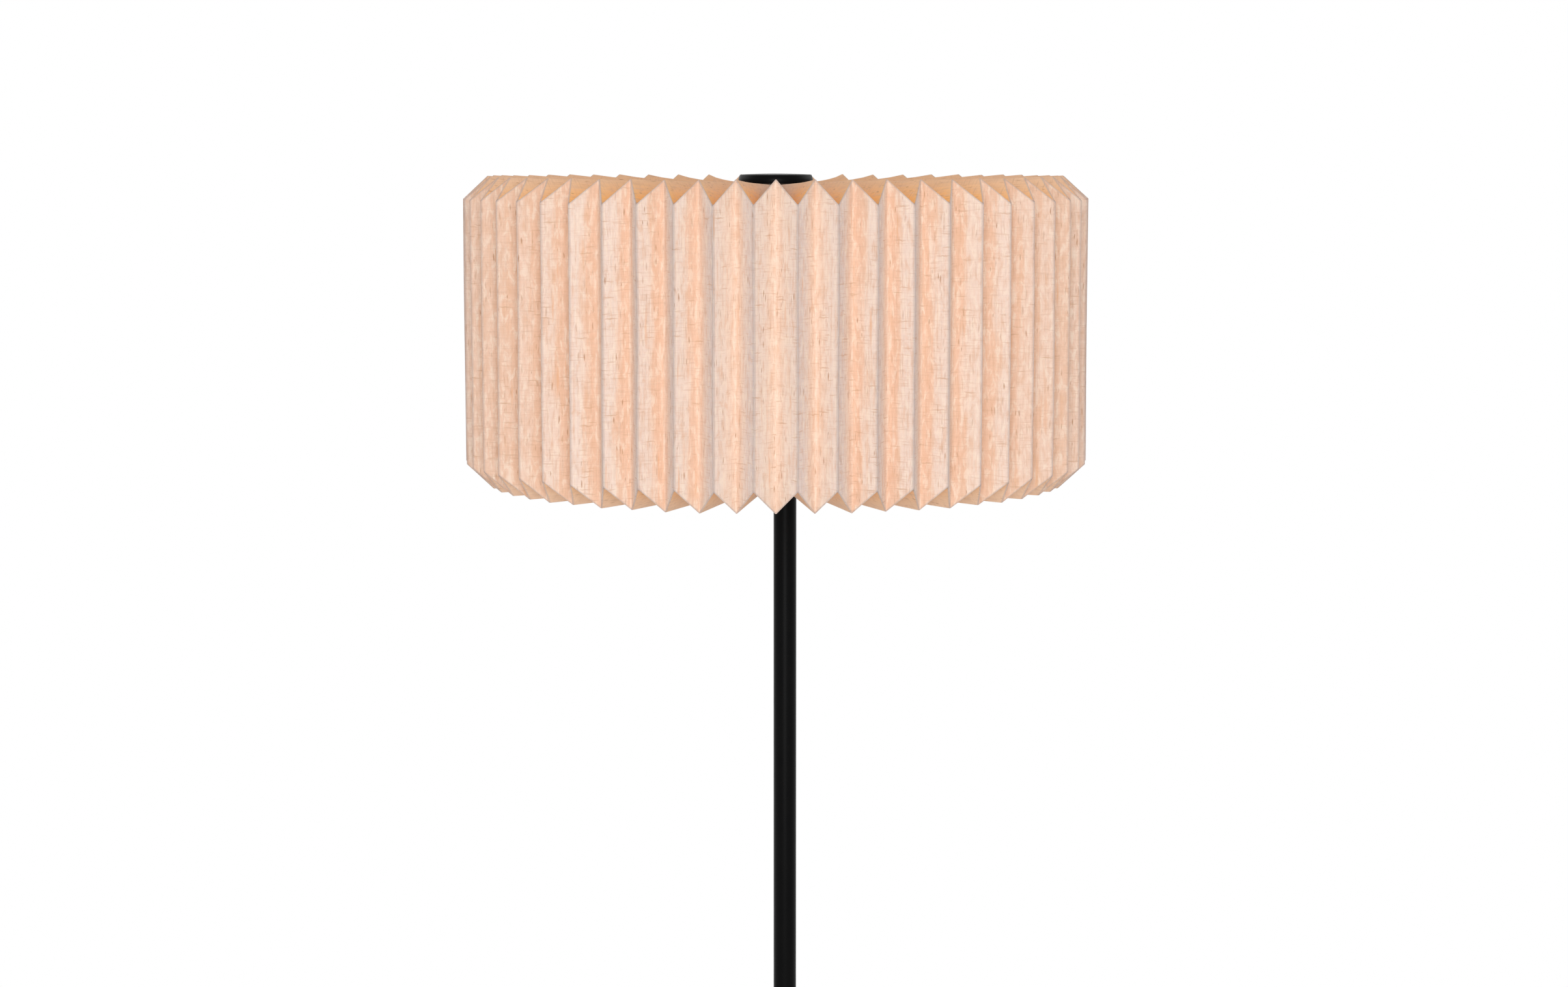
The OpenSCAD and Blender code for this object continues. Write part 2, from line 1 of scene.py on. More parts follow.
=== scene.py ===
import json
import math
import bpy
import numpy as np
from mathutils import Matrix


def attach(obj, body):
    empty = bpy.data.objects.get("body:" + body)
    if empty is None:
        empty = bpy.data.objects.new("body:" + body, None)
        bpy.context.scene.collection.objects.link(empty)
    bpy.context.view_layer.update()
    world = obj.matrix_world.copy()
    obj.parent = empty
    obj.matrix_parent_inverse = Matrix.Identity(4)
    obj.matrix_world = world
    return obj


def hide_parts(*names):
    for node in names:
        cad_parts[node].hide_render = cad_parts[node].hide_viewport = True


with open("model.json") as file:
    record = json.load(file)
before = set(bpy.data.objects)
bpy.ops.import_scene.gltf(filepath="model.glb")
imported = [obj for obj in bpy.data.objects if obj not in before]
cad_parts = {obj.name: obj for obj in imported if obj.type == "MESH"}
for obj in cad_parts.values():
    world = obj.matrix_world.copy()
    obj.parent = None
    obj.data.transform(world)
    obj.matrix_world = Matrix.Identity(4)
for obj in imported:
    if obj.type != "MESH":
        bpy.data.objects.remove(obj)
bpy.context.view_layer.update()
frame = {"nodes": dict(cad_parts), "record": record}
print("frame loaded:", len(frame["nodes"]), "nodes")

# camera
camera = {
    "distance": 2.5035,  # from the shade's axis, m
    "height": 1.5819,
    "lookDown": 6.38,  # degrees
    "lens": 71.31,
    "shiftX": 0.00527,  # the shade stands a little left of the picture's middle
}
cameraData = bpy.data.cameras.new("camera")
cameraData.sensor_width = 36
cameraData.lens = camera["lens"]
cameraData.shift_x = camera["shiftX"]
cameraObject = bpy.data.objects.new("camera", cameraData)
cameraObject.location = (0, -camera["distance"], camera["height"])
cameraObject.rotation_euler = (math.radians(90 - camera["lookDown"]), 0, 0)
bpy.context.scene.collection.objects.link(cameraObject)
bpy.context.scene.camera = cameraObject
bpy.context.scene.view_settings.view_transform = "Standard"


# node helpers
class Wire:
    # a node's output that can stand in a sum, so that a pattern reads as its formula
    def __init__(self, net, socket):
        self.net, self.socket = net, socket

    def __add__(self, other):
        return self.net.math("ADD", self, other)

    def __radd__(self, other):
        return self.net.math("ADD", other, self)

    def __sub__(self, other):
        return self.net.math("SUBTRACT", self, other)

    def __rsub__(self, other):
        return self.net.math("SUBTRACT", other, self)

    def __mul__(self, other):
        return self.net.math("MULTIPLY", self, other)

    def __rmul__(self, other):
        return self.net.math("MULTIPLY", other, self)

    def __truediv__(self, other):
        return self.net.math("DIVIDE", self, other)


class NodeNet:
    # the nodes of one material or world; a value given to them is a wire, a number or a tuple
    def __init__(self, owner):
        owner.use_nodes = True
        self.tree = owner.node_tree
        self.tree.nodes.clear()

    def node(self, kind, values=None, **settings):
        # makes a node, sets its properties by name and then feeds its sockets
        node = self.tree.nodes.new(kind)
        for key, value in settings.items():
            setattr(node, key, value)
        for key, value in (values or {}).items():
            socket = node.inputs[key]
            if isinstance(value, Wire):
                self.tree.links.new(value.socket, socket)
            elif socket.type == "RGBA":
                socket.default_value = (*value, 1)
            else:
                socket.default_value = value
        return node

    def wire(self, kind, values=None, output=0, **settings):
        # makes a node and gives one of its outputs
        return Wire(self, self.node(kind, values, **settings).outputs[output])

    def math(self, operation, first, second=None, clamp=False):
        values = {0: first} if second is None else {0: first, 1: second}
        return self.wire("ShaderNodeMath", values, operation=operation, use_clamp=clamp)

    def ramp(self, factor, stops):
        # a colour ramp with stops of (position, colour)
        node = self.node("ShaderNodeValToRGB", {"Fac": factor})
        elements = node.color_ramp.elements
        while len(elements) < len(stops):
            elements.new(0.5)
        for element, (position, colour) in zip(elements, stops):
            element.position, element.color = position, (*colour, 1)
        return Wire(self, node.outputs["Color"])

    def mix(self, factor, first, second, blend="MIX"):
        return self.wire("ShaderNodeMix", {0: factor, 6: first, 7: second}, 2,
                         data_type="RGBA", blend_type=blend)

    def between(self, value, start, end, smooth=False, low=0.0, high=1.0):
        # low at start and high at end, held beyond them
        return self.wire("ShaderNodeMapRange",
                         {"Value": value, "From Min": start, "From Max": end, "To Min": low,
                          "To Max": high}, interpolation_type="SMOOTHSTEP" if smooth else "LINEAR")

    def stretched(self, source, scale, move=(0, 0)):
        return self.wire("ShaderNodeMapping",
                         {"Vector": source, "Scale": (*scale, 1), "Location": (*move, 0)})

    def noise(self, vector, scale, detail, roughness=0.5, distortion=0.0, output="Fac"):
        return self.wire("ShaderNodeTexNoise",
                         {"Vector": vector, "Scale": scale, "Detail": detail,
                          "Roughness": roughness, "Distortion": distortion}, output)

    def strewn(self, vector, scale, size, share):
        # marks strewn at random: one spot in each cell of a stretched cell pattern, and only in
        # the given share of the cells, each with its own size and strength
        cells = self.node("ShaderNodeTexVoronoi", {"Scale": 1.0, "Randomness": 1.0,
                                                   "Vector": self.stretched(vector, scale)})
        parts = self.node("ShaderNodeSeparateColor", {"Color": Wire(self, cells.outputs["Color"])})
        chance, spread, force = (Wire(self, output) for output in parts.outputs)
        radius = size * (spread * 0.8 + 0.35)
        inside = self.math("SUBTRACT", 1.0, Wire(self, cells.outputs["Distance"]) / radius, True)
        present = self.math("LESS_THAN", chance, share)
        return self.math("POWER", inside, 0.5) * present * (force * 0.7 + 0.3)

    def place(self):
        return self.wire("ShaderNodeTexCoord", output="Object")

    def flat(self):
        return self.wire("ShaderNodeUVMap", output="UV", uv_map="sheet")

    def principled(self, values, height, distance, strength):
        # a shader whose surface is bumped by a height, wired to the output
        bump = self.wire("ShaderNodeBump",
                         {"Strength": strength, "Distance": distance, "Height": height})
        self.finish(self.wire("ShaderNodeBsdfPrincipled", {**values, "Normal": bump}))

    def finish(self, shader, kind="ShaderNodeOutputMaterial"):
        self.node(kind, {"Surface": shader})

    def plainToEye(self, share, lit, shown):
        # blends two shaders: shown is what the camera, a mirror or clear glass sees, and lit is
        # what light on its way to a surface meets
        path = self.node("ShaderNodeLightPath").outputs
        camera, glossy, clear = (Wire(self, path["Is %s Ray" % name])
                                 for name in ("Camera", "Glossy", "Transmission"))
        seen = self.math("MAXIMUM", self.math("MAXIMUM", camera, glossy), clear)
        return self.wire("ShaderNodeMixShader",
                         {"Fac": seen if share is None else share * seen, 1: lit, 2: shown})


def grey(value):
    return (value, value, value)


# floor, backdrop and light
stageLook = {
    "floorRadius": 60.0,
    "floorTones": (0.92, 0.94),
    "shadowReach": (1.6, 3.0),  # the floor turns plain white between these radii
    "skyColour": (1.0, 0.985, 0.97),
    "skyAbove": 0.52,  # strength straight up
    "skyAround": 0.34,  # strength at the horizon
}


def makeFloor():
    # a disc whose height is 0 everywhere: rings at growing radii, 64 to a turn
    turns, radii = 64, np.array([0.4, 1.0, 2.0, 4.0, 10.0, stageLook["floorRadius"]])
    angle = np.linspace(0, 2 * np.pi, turns, endpoint=False)
    ring = radii[:, None, None] * np.stack([np.cos(angle), np.sin(angle), 0 * angle], -1)[None]
    ring = ring.reshape(-1, 3)
    points = np.vstack([ring, [[0, 0, 0]]])
    column = np.arange(turns)
    after = (column + 1) % turns
    faces = [np.stack([k * turns + column, (k + 1) * turns + column,
                       (k + 1) * turns + after, k * turns + after], -1)
             for k in range(len(radii) - 1)]
    mesh = bpy.data.meshes.new("floor")
    mesh.from_pydata(points.tolist(), [], np.vstack(faces).tolist()
                     + np.stack([0 * column + len(ring), column, after], -1).tolist())
    floor = bpy.data.objects.new("floor", mesh)
    floor.location = (0, 0, -0.0005)
    bpy.context.scene.collection.objects.link(floor)
    material = bpy.data.materials.new("paleFloor")
    net = NodeNet(material)
    place = net.place()
    distance = net.wire("ShaderNodeVectorMath", {0: place}, "Value", operation="LENGTH")
    dark, light = stageLook["floorTones"]
    colour = net.ramp(net.noise(place, 40.0, 4.0), [(0.0, grey(dark)), (1.0, grey(light))])
    paint = net.wire("ShaderNodeBsdfDiffuse", {"Color": colour})
    white = net.wire("ShaderNodeEmission", {"Color": (1, 1, 1), "Strength": 1.0})
    net.finish(net.plainToEye(net.between(distance, *stageLook["shadowReach"]), paint, white))
    mesh.materials.append(material)


def makeWorld():
    # the sky lights with a soft level and shows as plain white
    world = bpy.data.worlds.new("studio")
    net = NodeNet(world)
    direction = net.wire("ShaderNodeTexCoord", output="Generated")
    upward = net.wire("ShaderNodeSeparateXYZ", {0: direction}, "Z")
    strength = net.between(upward, 0.0, 0.8, True, stageLook["skyAround"], stageLook["skyAbove"])
    sky = net.wire("ShaderNodeBackground", {"Color": stageLook["skyColour"], "Strength": strength})
    white = net.wire("ShaderNodeBackground", {"Color": (1, 1, 1), "Strength": 1.0})
    net.finish(net.plainToEye(None, sky, white), "ShaderNodeOutputWorld")
    bpy.context.scene.world = world


lamps = {
    "front": {"place": (0, -2.8, 2.2), "aim": (0, 0, 1.42), "size": 0.9, "power": 30},
    "left": {"place": (-2.4, 1.3, 3.3), "aim": (0, 0, 1.3), "size": 2.0, "power": 16},
    "right": {"place": (2.4, 1.3, 3.3), "aim": (0, 0, 1.3), "size": 2.0, "power": 16},
    "low": {"place": (0, -3.4, 0.9), "aim": (0, 0, 0.5), "size": 1.6, "power": 22},
}


def makeLamps():
    for name, lamp in lamps.items():
        data = bpy.data.lights.new(name, "AREA")
        data.shape = "SQUARE"
        data.size = lamp["size"]
        data.energy = lamp["power"]
        light = bpy.data.objects.new(name, data)
        place, aim = np.array(lamp["place"]), np.array(lamp["aim"])
        direction = aim - place
        light.location = place
        light.rotation_euler = (math.pi / 2 - math.atan2(-direction[2], math.hypot(*direction[:2])),
                                0, math.atan2(-direction[0], direction[1]))
        light.visible_camera = False
        bpy.context.scene.collection.objects.link(light)


makeFloor()
makeWorld()
makeLamps()
print("stage and light made")


# mesh helpers
def gridQuads(rows, columns, wrapRows=False, wrapColumns=False):
    # quads between neighbouring rows and columns of points numbered row by row
    row = np.arange(rows if wrapRows else rows - 1)[:, None]
    column = np.arange(columns if wrapColumns else columns - 1)[None]
    row, column = np.broadcast_arrays(row, column)
    below, beside = (row + 1) % rows, (column + 1) % columns
    return np.stack([row * columns + column, row * columns + beside,
                     below * columns + beside, below * columns + column], -1).reshape(-1, 4)


def makePiece(name, shape, slot, replaced, body="stand", sharp=35.0):
    # one object from (points, faces), shaded smooth up to sharp degrees, in its slot's finish
    points, faces = shape
    mesh = bpy.data.meshes.new(name)
    mesh.from_pydata(points.tolist(), [], faces)
    mesh.shade_smooth()
    mesh.set_sharp_from_angle(angle=math.radians(sharp))
    for material in materialsOf[slot]:
        mesh.materials.append(material)
    piece = bpy.data.objects.new(name, mesh)
    bpy.context.scene.collection.objects.link(piece)
    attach(piece, body)
    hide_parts(replaced)
    return piece


def softCorners(corners, closed=False, steps=4):
    # corners are (radius, height, round) in mm; each is rounded by a quadratic curve that starts
    # and ends that far along its two sides
    corners = [tuple(c) + (0.0,) * (3 - len(c)) for c in corners]
    line = np.array([c[:2] for c in corners], float)
    result = []
    for index, point in enumerate(line):
        size = corners[index][2]
        if size <= 0 or (not closed and index in (0, len(line) - 1)):
            result.append(point)
            continue
        before, after = line[index - 1] - point, line[(index + 1) % len(line)] - point
        start = point + before / np.linalg.norm(before) * size
        end = point + after / np.linalg.norm(after) * size
        for s in np.linspace(0, 1, steps + 1):
            result.append((1 - s) ** 2 * start + 2 * s * (1 - s) * point + s ** 2 * end)
    return np.array(result)


def turned(profile, centre=(0, 0, 0), segments=96, closed=False, bend=None, front=False):
    # a profile of (radius, height) in mm turned about the upright axis through centre:
    # x = r cos a, y = r sin a, z = height, or with front along -Y: x = r cos a, y = -height,
    # z = r sin a. It runs anticlockwise in its own plane; a closed one makes a wall, an open one
    # starts and ends on the axis. bend changes the radii and heights by the angle
    profile = np.asarray(profile, float)
    angle = np.linspace(0, 2 * np.pi, segments, endpoint=False)
    radius, height = profile[:, :1] + 0 * angle, profile[:, 1:] + 0 * angle
    if bend:
        radius, height = bend(radius, height, angle)
    points = np.stack([radius * np.cos(angle), radius * np.sin(angle), height], -1)
    if not closed:
        poles = np.array([[0, 0, profile[0, 1]], [0, 0, profile[-1, 1]]])
        points = points[1:-1]
    rows = len(points)
    points = points.reshape(-1, 3)
    faces = gridQuads(rows, segments, wrapRows=closed, wrapColumns=True).tolist()
    if not closed:
        first, last = len(points), len(points) + 1
        points = np.vstack([points, poles])
        column = np.arange(segments)
        after = (column + 1) % segments
        end = (rows - 1) * segments
        faces += np.stack([0 * column + first, after, column], -1).tolist()
        faces += np.stack([0 * column + last, end + column, end + after], -1).tolist()
    if front:
        points = points[:, [0, 2, 1]] * (1, -1, 1)
    return (points + centre) * 0.001, faces


def joined(*parts):
    # several shells as one piece, each face list shifted past the points before it
    points, faces, count = [], [], 0
    for one, its in parts:
        points.append(one)
        faces += [[corner + count for corner in face] for face in its]
        count += len(one)
    return np.vstack(points), faces


def steppedWall(corners, low, high, rows):
    # a profile's corners with extra rows at even heights along every upright stretch between
    # low and high, for a thread or flutes to show on
    result = []
    for index, point in enumerate(corners):
        result.append(point)
        following = corners[(index + 1) % len(corners)]
        if abs(following[1] - point[1]) > (high - low) * 0.6 and index + 1 < len(corners):
            for share in np.arange(1, rows) / rows:
                result.append(point + share * (following - point))
    return np.array(result)


def thread(pitch, depth, low, high, least=0.0):
    # radius falls by depth (1 - cos(2 pi height / pitch - angle)) / 2, fading in over a pitch at
    # both ends, where the radius is over least
    def bend(radius, height, angle):
        wave = 0.5 - 0.5 * np.cos(2 * np.pi * height / pitch - angle)
        ramp = np.clip((height - low) / pitch, 0, 1) * np.clip((high - height) / pitch, 0, 1)
        return radius - depth * wave * ramp * (radius > least), height
    return bend


def flutes(count, depth, low, high, least=0.0, sharpness=1.0):
    # radius falls by depth |cos(count angle / 2)|^sharpness between low and high
    def bend(radius, height, angle):
        wave = np.abs(np.cos(count * angle / 2)) ** sharpness
        ramp = np.clip((height - low) / 0.6, 0, 1) * np.clip((high - height) / 0.6, 0, 1)
        return radius - depth * wave * ramp * (radius > least), height
    return bend


def hexagon(corner, low, high, least=0.0):
    # six flats, corner cos 30 / cos(angle within a flat), under a cone that takes off the corners
    def bend(radius, height, angle):
        flat = corner * math.cos(math.pi / 6) / np.cos(angle % (np.pi / 3) - np.pi / 6)
        cone = corner * 0.93 + 1.7 * np.minimum(height - low, high - height)
        shaped = np.minimum(np.minimum(radius, flat), cone)
        return np.where(radius > least, shaped, radius), height
    return bend


def swept(path, radius, sides=16):
    # a tube along a path of (x, z) in mm in the plane y = 0: P + r (cos b N + sin b Y), where N is
    # square to the path; its ends are closed by fans
    path = np.asarray(path, float)
    along = np.gradient(path, axis=0)
    along /= np.linalg.norm(along, axis=1, keepdims=True)
    side = np.stack([-along[:, 1], along[:, 0]], -1)
    turn = np.linspace(0, 2 * np.pi, sides, endpoint=False)
    across = path[:, None] + radius * np.cos(turn)[None, :, None] * side[:, None]
    depth = radius * np.sin(turn)[None] + 0 * across[..., 0]
    points = np.stack([across[..., 0], depth, across[..., 1]], -1).reshape(-1, 3)
    faces = gridQuads(len(path), sides, wrapColumns=True)[:, ::-1].tolist()
    first, last = len(points), len(points) + 1
    points = np.vstack([points, [[path[0, 0], 0, path[0, 1]], [path[-1, 0], 0, path[-1, 1]]]])
    column = np.arange(sides)
    after = (column + 1) % sides
    end = (len(path) - 1) * sides
    faces += np.stack([0 * column + first, column, after], -1).tolist()
    faces += np.stack([0 * column + last, end + after, end + column], -1).tolist()
    return points * 0.001, faces


# folded shade
shade = {
    "pleats": 52,
    "radius": 0.250,  # to the outward folds
    "depth": 0.0195,
    "foldLength": 0.208,  # of the outward folds
    "tipRise": 0.0184,  # how far the inward folds reach beyond them
    "ridgeDip": 0.007,
    "mouthRadius": 0.110,
    "hubRadius": 0.024,
    "middle": 1.4351,  # height of the shade's middle
    "thickness": 0.0005,
    "flatLength": 0.573,  # from hub to mouth along a fold
    "standOff": 0.001,  # most that a sharp fold stands proud
    "foldRound": 0.036,  # rounded share of a panel beside each fold
    "valleyRound": 0.24,  # the same beside an inward fold, halfway up the wall
    "cornerRound": 0.0011,  # how far a panel starts to turn before a cross fold
    "bow": 0.00035,  # how far a panel swells between its folds
    "sway": 0.00022,  # how far the upright folds wander
    # painted warm shade of each pleat's panels
    "warmShadeByPleat": (0.0, 0.2, 1.0, 1.1, 1.1, 1.15, 1.3, 1.5, 1.65, 1.7, 1.7, 1.5),  # from the front
    "rimSide": 0.0008,  # how far the top's rim rises at the sides
    "rimBack": -0.0002,  # the same at the back
    "rimLow": -0.0005,  # and along the underside
    "tipScatter": 0.0004,  # most that a single tip stands higher or lower
    "sagFront": 0.0008,  # how far a flap sags between the rim and the hub
    "sagBack": 0.0026,
    "backSpread": 0.05,  # how much wider the pleats stand at the back than at the sides
    # how far each fold stands from its even place, mm, in order from the front and from the back
    "wander": (0, 0.9, 1.2, 0.5, 1.1, 0.3, 0, -0.9, -0.1, -1.6, -0.1, -0.7, 0.1,
               -1.1, -0.7, -2.4, -0.9, -1.6, -0.2, -1.7, -0.3, -1.4, 0, -0.2, 0.2, 0.2, 0),
}


def shadeLines():
    # the fold lines as radius and height: w is a panel's width, a the angle between folds, and the
    # ends run in so that a strip keeps its width, drop(r) = sqrt(w^2 - (r sin a)^2) below the ridge
    turn = math.pi / shade["pleats"]
    inner = shade["radius"] - shade["depth"]
    corner = shade["foldLength"] / 2
    tip = corner + shade["tipRise"]
    width = math.hypot(shade["radius"] * math.cos(turn) - inner, shade["radius"] * math.sin(turn))
    drop = lambda r: np.sqrt(np.maximum(width ** 2 - (r * math.sin(turn)) ** 2, 1e-6))
    slope = shade["ridgeDip"] / (inner - shade["hubRadius"])
    q = np.linspace(0, 1, 9)  # from the rim towards the hub or the mouth
    topValley = np.stack([inner + q * (shade["hubRadius"] - inner), 0 * q], -1)
    topMountain = np.stack([shade["radius"] + q * (shade["hubRadius"] - shade["radius"]),
                            0 * q], -1)
    topValley[:, 1] = tip - slope * (inner - topValley[:, 0])
    topMountain[:, 1] = (tip - slope * (inner - topMountain[:, 0]) - drop(topMountain[:, 0]))
    topMountain[:, 1] += (corner - topMountain[0, 1]) * (1 - q)
    q = np.linspace(0, 1, 6)
    lowValley = np.stack([inner + q * (shade["mouthRadius"] - inner), 0 * q - tip], -1)
    lowMountain = np.stack([shade["radius"] + q * (shade["mouthRadius"] - shade["radius"]),
                            0 * q], -1)
    lowMountain[:, 1] = -tip + drop(lowMountain[:, 0])
    lowMountain[:, 1] += (-corner - lowMountain[0, 1]) * (1 - q)
    return turn, width, (topValley, topMountain), (lowValley, lowMountain), (tip, corner)


def foldLine(top, low, tip, wallRows):
    # one fold from the hub over the wall to the mouth, as rows of (radius, height)
    wall = np.linspace(tip, -tip, wallRows)[1:-1]
    return np.vstack([top[::-1], np.stack([0 * wall + top[0, 0], wall], -1), low])


def roundedShare(t, size):
    # t between two folds, flattened near both: (t^2 + e^2) / 2e for t < e, and the same from 1;
    # size holds e at the first fold and at the second
    first, second = size
    return np.where(t < first, (t ** 2 + first ** 2) / (2 * first),
                    np.where(t > 1 - second, 1 - ((1 - t) ** 2 + second ** 2) / (2 * second), t))


def roundCorners(line, corners, size):
    # line is rows of points along every column. Each corner row becomes four rows on the curve
    # (1-s)^2 A + 2 s (1-s) K + s^2 B, with A and B that far from the corner K
    rows = []
    for index in range(len(line)):
        if index not in corners:
            rows.append(line[index])
            continue
        corner = line[index]
        ends = []
        for other in (line[index - 1], line[index + 1]):
            away = other - corner
            ends.append(corner + away / np.linalg.norm(away, axis=-1, keepdims=True) * size)
        for s in (0.0, 0.3, 0.7, 1.0):
            rows.append((1 - s) ** 2 * ends[0] + 2 * s * (1 - s) * corner + s ** 2 * ends[1])
    return np.array(rows)


def shadeSurface():
    # both faces of the sheet: a point between fold lines i and i + 1 is
    # P = A + t (B - A) + (s(t) - t) D, with D the part of B - A across the folds, plus a slow bow
    rng = np.random.default_rng(52)
    turn, width, top, low, (tip, corner) = shadeLines()
    wallRows = 9
    valley = foldLine(top[0], low[0], tip, wallRows)
    mountain = foldLine(top[1], low[1], corner, wallRows)
    rows, folds = len(valley), 2 * shade["pleats"]
    number = np.arange(folds)
    isValley = (number % 2 == 0)[None, :, None]
    line = np.where(isValley, valley[:, None], mountain[:, None])  # rows, folds, (r, z)
    cornerRows = (len(top[0]) - 1, rows - len(low[0]))

    # stand-off of the faces from each fold line, as in a sheet of even thickness
    half, most = shade["thickness"] / 2, shade["standOff"]
    run = line[..., 0] * math.sin(turn)
    flapOff = np.minimum(half * width / np.maximum(run, 1e-4), most)
    wallRun = shade["radius"] * math.sin(turn)
    wallOff = min(half * math.hypot(shade["depth"], wallRun) / wallRun, most)
    row = np.arange(rows)[:, None]
    outwards = np.where((row >= cornerRows[0]) & (row <= cornerRows[1]), wallOff, 0.0) + 0 * run
    upwards = np.where(row <= cornerRows[0], flapOff, np.where(row >= cornerRows[1], -flapOff, 0.0))

    # angles: even, apart from small differences from hand folding, the same on both sides
    near = np.minimum(number, folds - number)
    side = np.where(number <= folds // 2, 1, -1)
    known = np.array(shade["wander"]) / 1000
    back = np.minimum(near, folds // 2 - near)
    drift = side * known[back] * np.where(near > folds // 4, -1, 1) / shade["radius"]
    fromBack = np.clip(folds // 2 - near, 0, folds // 4) * turn
    drift -= side * shade["backSpread"] * fromBack * (1 - fromBack / (np.pi / 2))
    angle = number * turn - math.pi / 2 + drift

    # slow sway of the upright folds and a height difference at each tip
    height = line[..., 1]
    phase, speed = rng.uniform(0, 2 * np.pi, (2, folds)), rng.uniform(18, 40, (2, folds))
    share = np.clip(line[..., 0] / shade["radius"], 0, 1) ** 2
    swayAngle = shade["sway"] * np.sin(phase[0] + speed[0] * height) * share / shade["radius"]
    swayRadius = shade["sway"] * (np.sin(phase[1] + speed[1] * height) - 1) * share
    atSide, atBack = np.cos(angle) ** 2, np.clip(np.sin(angle), 0, 1) ** 2
    rim = np.where(height > 0, shade["rimSide"] * atSide + shade["rimBack"] * atBack,
                   shade["rimLow"])
    scatter = rng.uniform(-shade["tipScatter"], shade["tipScatter"], folds)
    lift = (rim + scatter) * share * np.minimum(np.abs(height) / corner, 1)
    inwards = np.clip((line[cornerRows[0], :, 0] - line[..., 0])
                      / (shade["radius"] - shade["depth"] - shade["hubRadius"]), 0, 1)
    sag = shade["sagFront"] + (shade["sagBack"] - shade["sagFront"]) * atBack
    lift -= np.where(row < cornerRows[0], sag * np.sin(np.pi * inwards ** 0.7), 0)

    # the rounding of an inward fold grows from the slanted creases to the wall's middle
    edge = shade["foldRound"]
    t = np.array([0, edge / 2, edge, 0.09, 0.16, 0.24, 0.5, 0.76, 0.84, 0.91, 1 - edge,
                  1 - edge / 2])
    columns = len(t)
    calm = np.sin(np.pi * np.clip((row - cornerRows[0]) / (cornerRows[1] - cornerRows[0]), 0, 1))
    wide = (edge + (shade["valleyRound"] - edge) * np.minimum(calm * 1.6, 1))[:, :, None]
    share = np.where(number[None, :, None] % 2 == 0, roundedShare(t, (wide, edge)),
                     roundedShare(t, (edge, wide)))  # rows, panels, columns
    swell = rng.uniform(-1, 1, folds) * shade["bow"]

    faces = []
    for sign in (1, -1):
        radius = line[..., 0] + sign * outwards + swayRadius
        z = height + sign * upwards + lift
        a = angle[None] + swayAngle
        first = np.stack([radius * np.cos(a), radius * np.sin(a), z], -1)
        second = np.roll(first, -1, axis=1)
        middle = a + turn / 2
        outDirection = np.stack([np.cos(middle), np.sin(middle), 0 * middle], -1)
        across = outDirection * (np.roll(radius, -1, axis=1) - radius)[..., None]
        across[..., 2] = np.roll(z, -1, axis=1) - z
        panels = (first[:, :, None] + t[None, None, :, None] * (second - first)[:, :, None]
                  + (share - t)[..., None] * across[:, :, None])
        bow = swell * np.sin(row / rows * 5 + number * 0.7)
        panels += (np.sin(np.pi * t) ** 2)[:, None] * (bow[..., None, None]
                                                       * outDirection[:, :, None])
        sheet = panels.reshape(rows, folds * columns, 3)
        faces.append(roundCorners(sheet, cornerRows, shade["cornerRound"]))
    outer, inside = faces
    outer[..., 2] += shade["middle"]
    inside[..., 2] += shade["middle"]

    # the flat sheet: u runs round it from the front fold, v along it from the wall's middle
    span = np.linalg.norm(np.diff(outer, axis=0), axis=-1)
    along = np.vstack([np.zeros((1, span.shape[1])), np.cumsum(span, 0)])
    foldStart = np.repeat(number, columns)
    u = (foldStart + np.tile(t, folds)) * width
    toMountain = np.where(foldStart % 2 == 0, np.tile(t, folds), 1 - np.tile(t, folds))
    crease = np.array([0.5 * (along[k + 1] + along[k + 2]) for k in
                       (cornerRows[0], cornerRows[1] + 3)])
    v = along - crease.mean(axis=0)
    gap = np.minimum(np.abs(along - crease[0]), np.abs(along - crease[1]))
    onWall = (along > crease[0]) & (along < crease[1])

    # painted shade: panels that face the front or the back are warmer towards their inward fold, as
    # light bounced inside a pleat, and pleats further round from the front more so
    quarter = (number // (folds // 4)) % 2
    facing = (number + quarter) % 2 == 0
    fromFront = np.minimum(number + 0.5, folds - number - 0.5)
    pleat = np.round(np.minimum(fromFront, folds / 2 - fromFront) / 2)
    warmShadeAmount = np.interp(pleat, np.arange(len(shade["warmShadeByPleat"])), shade["warmShadeByPleat"])
    paintedWarmShade = np.where(facing, warmShadeAmount * rng.uniform(0.9, 1.1, folds), warmShadeAmount * rng.uniform(0.0, 0.2, folds))
    away = np.where(facing | (pleat < 1), 0.0, 1.0)  # painted shade: panels that look away are greyer
    return (outer, inside, u, v, toMountain, np.repeat(paintedWarmShade, columns), np.repeat(away, columns),
            np.where(onWall, gap, -gap), width)


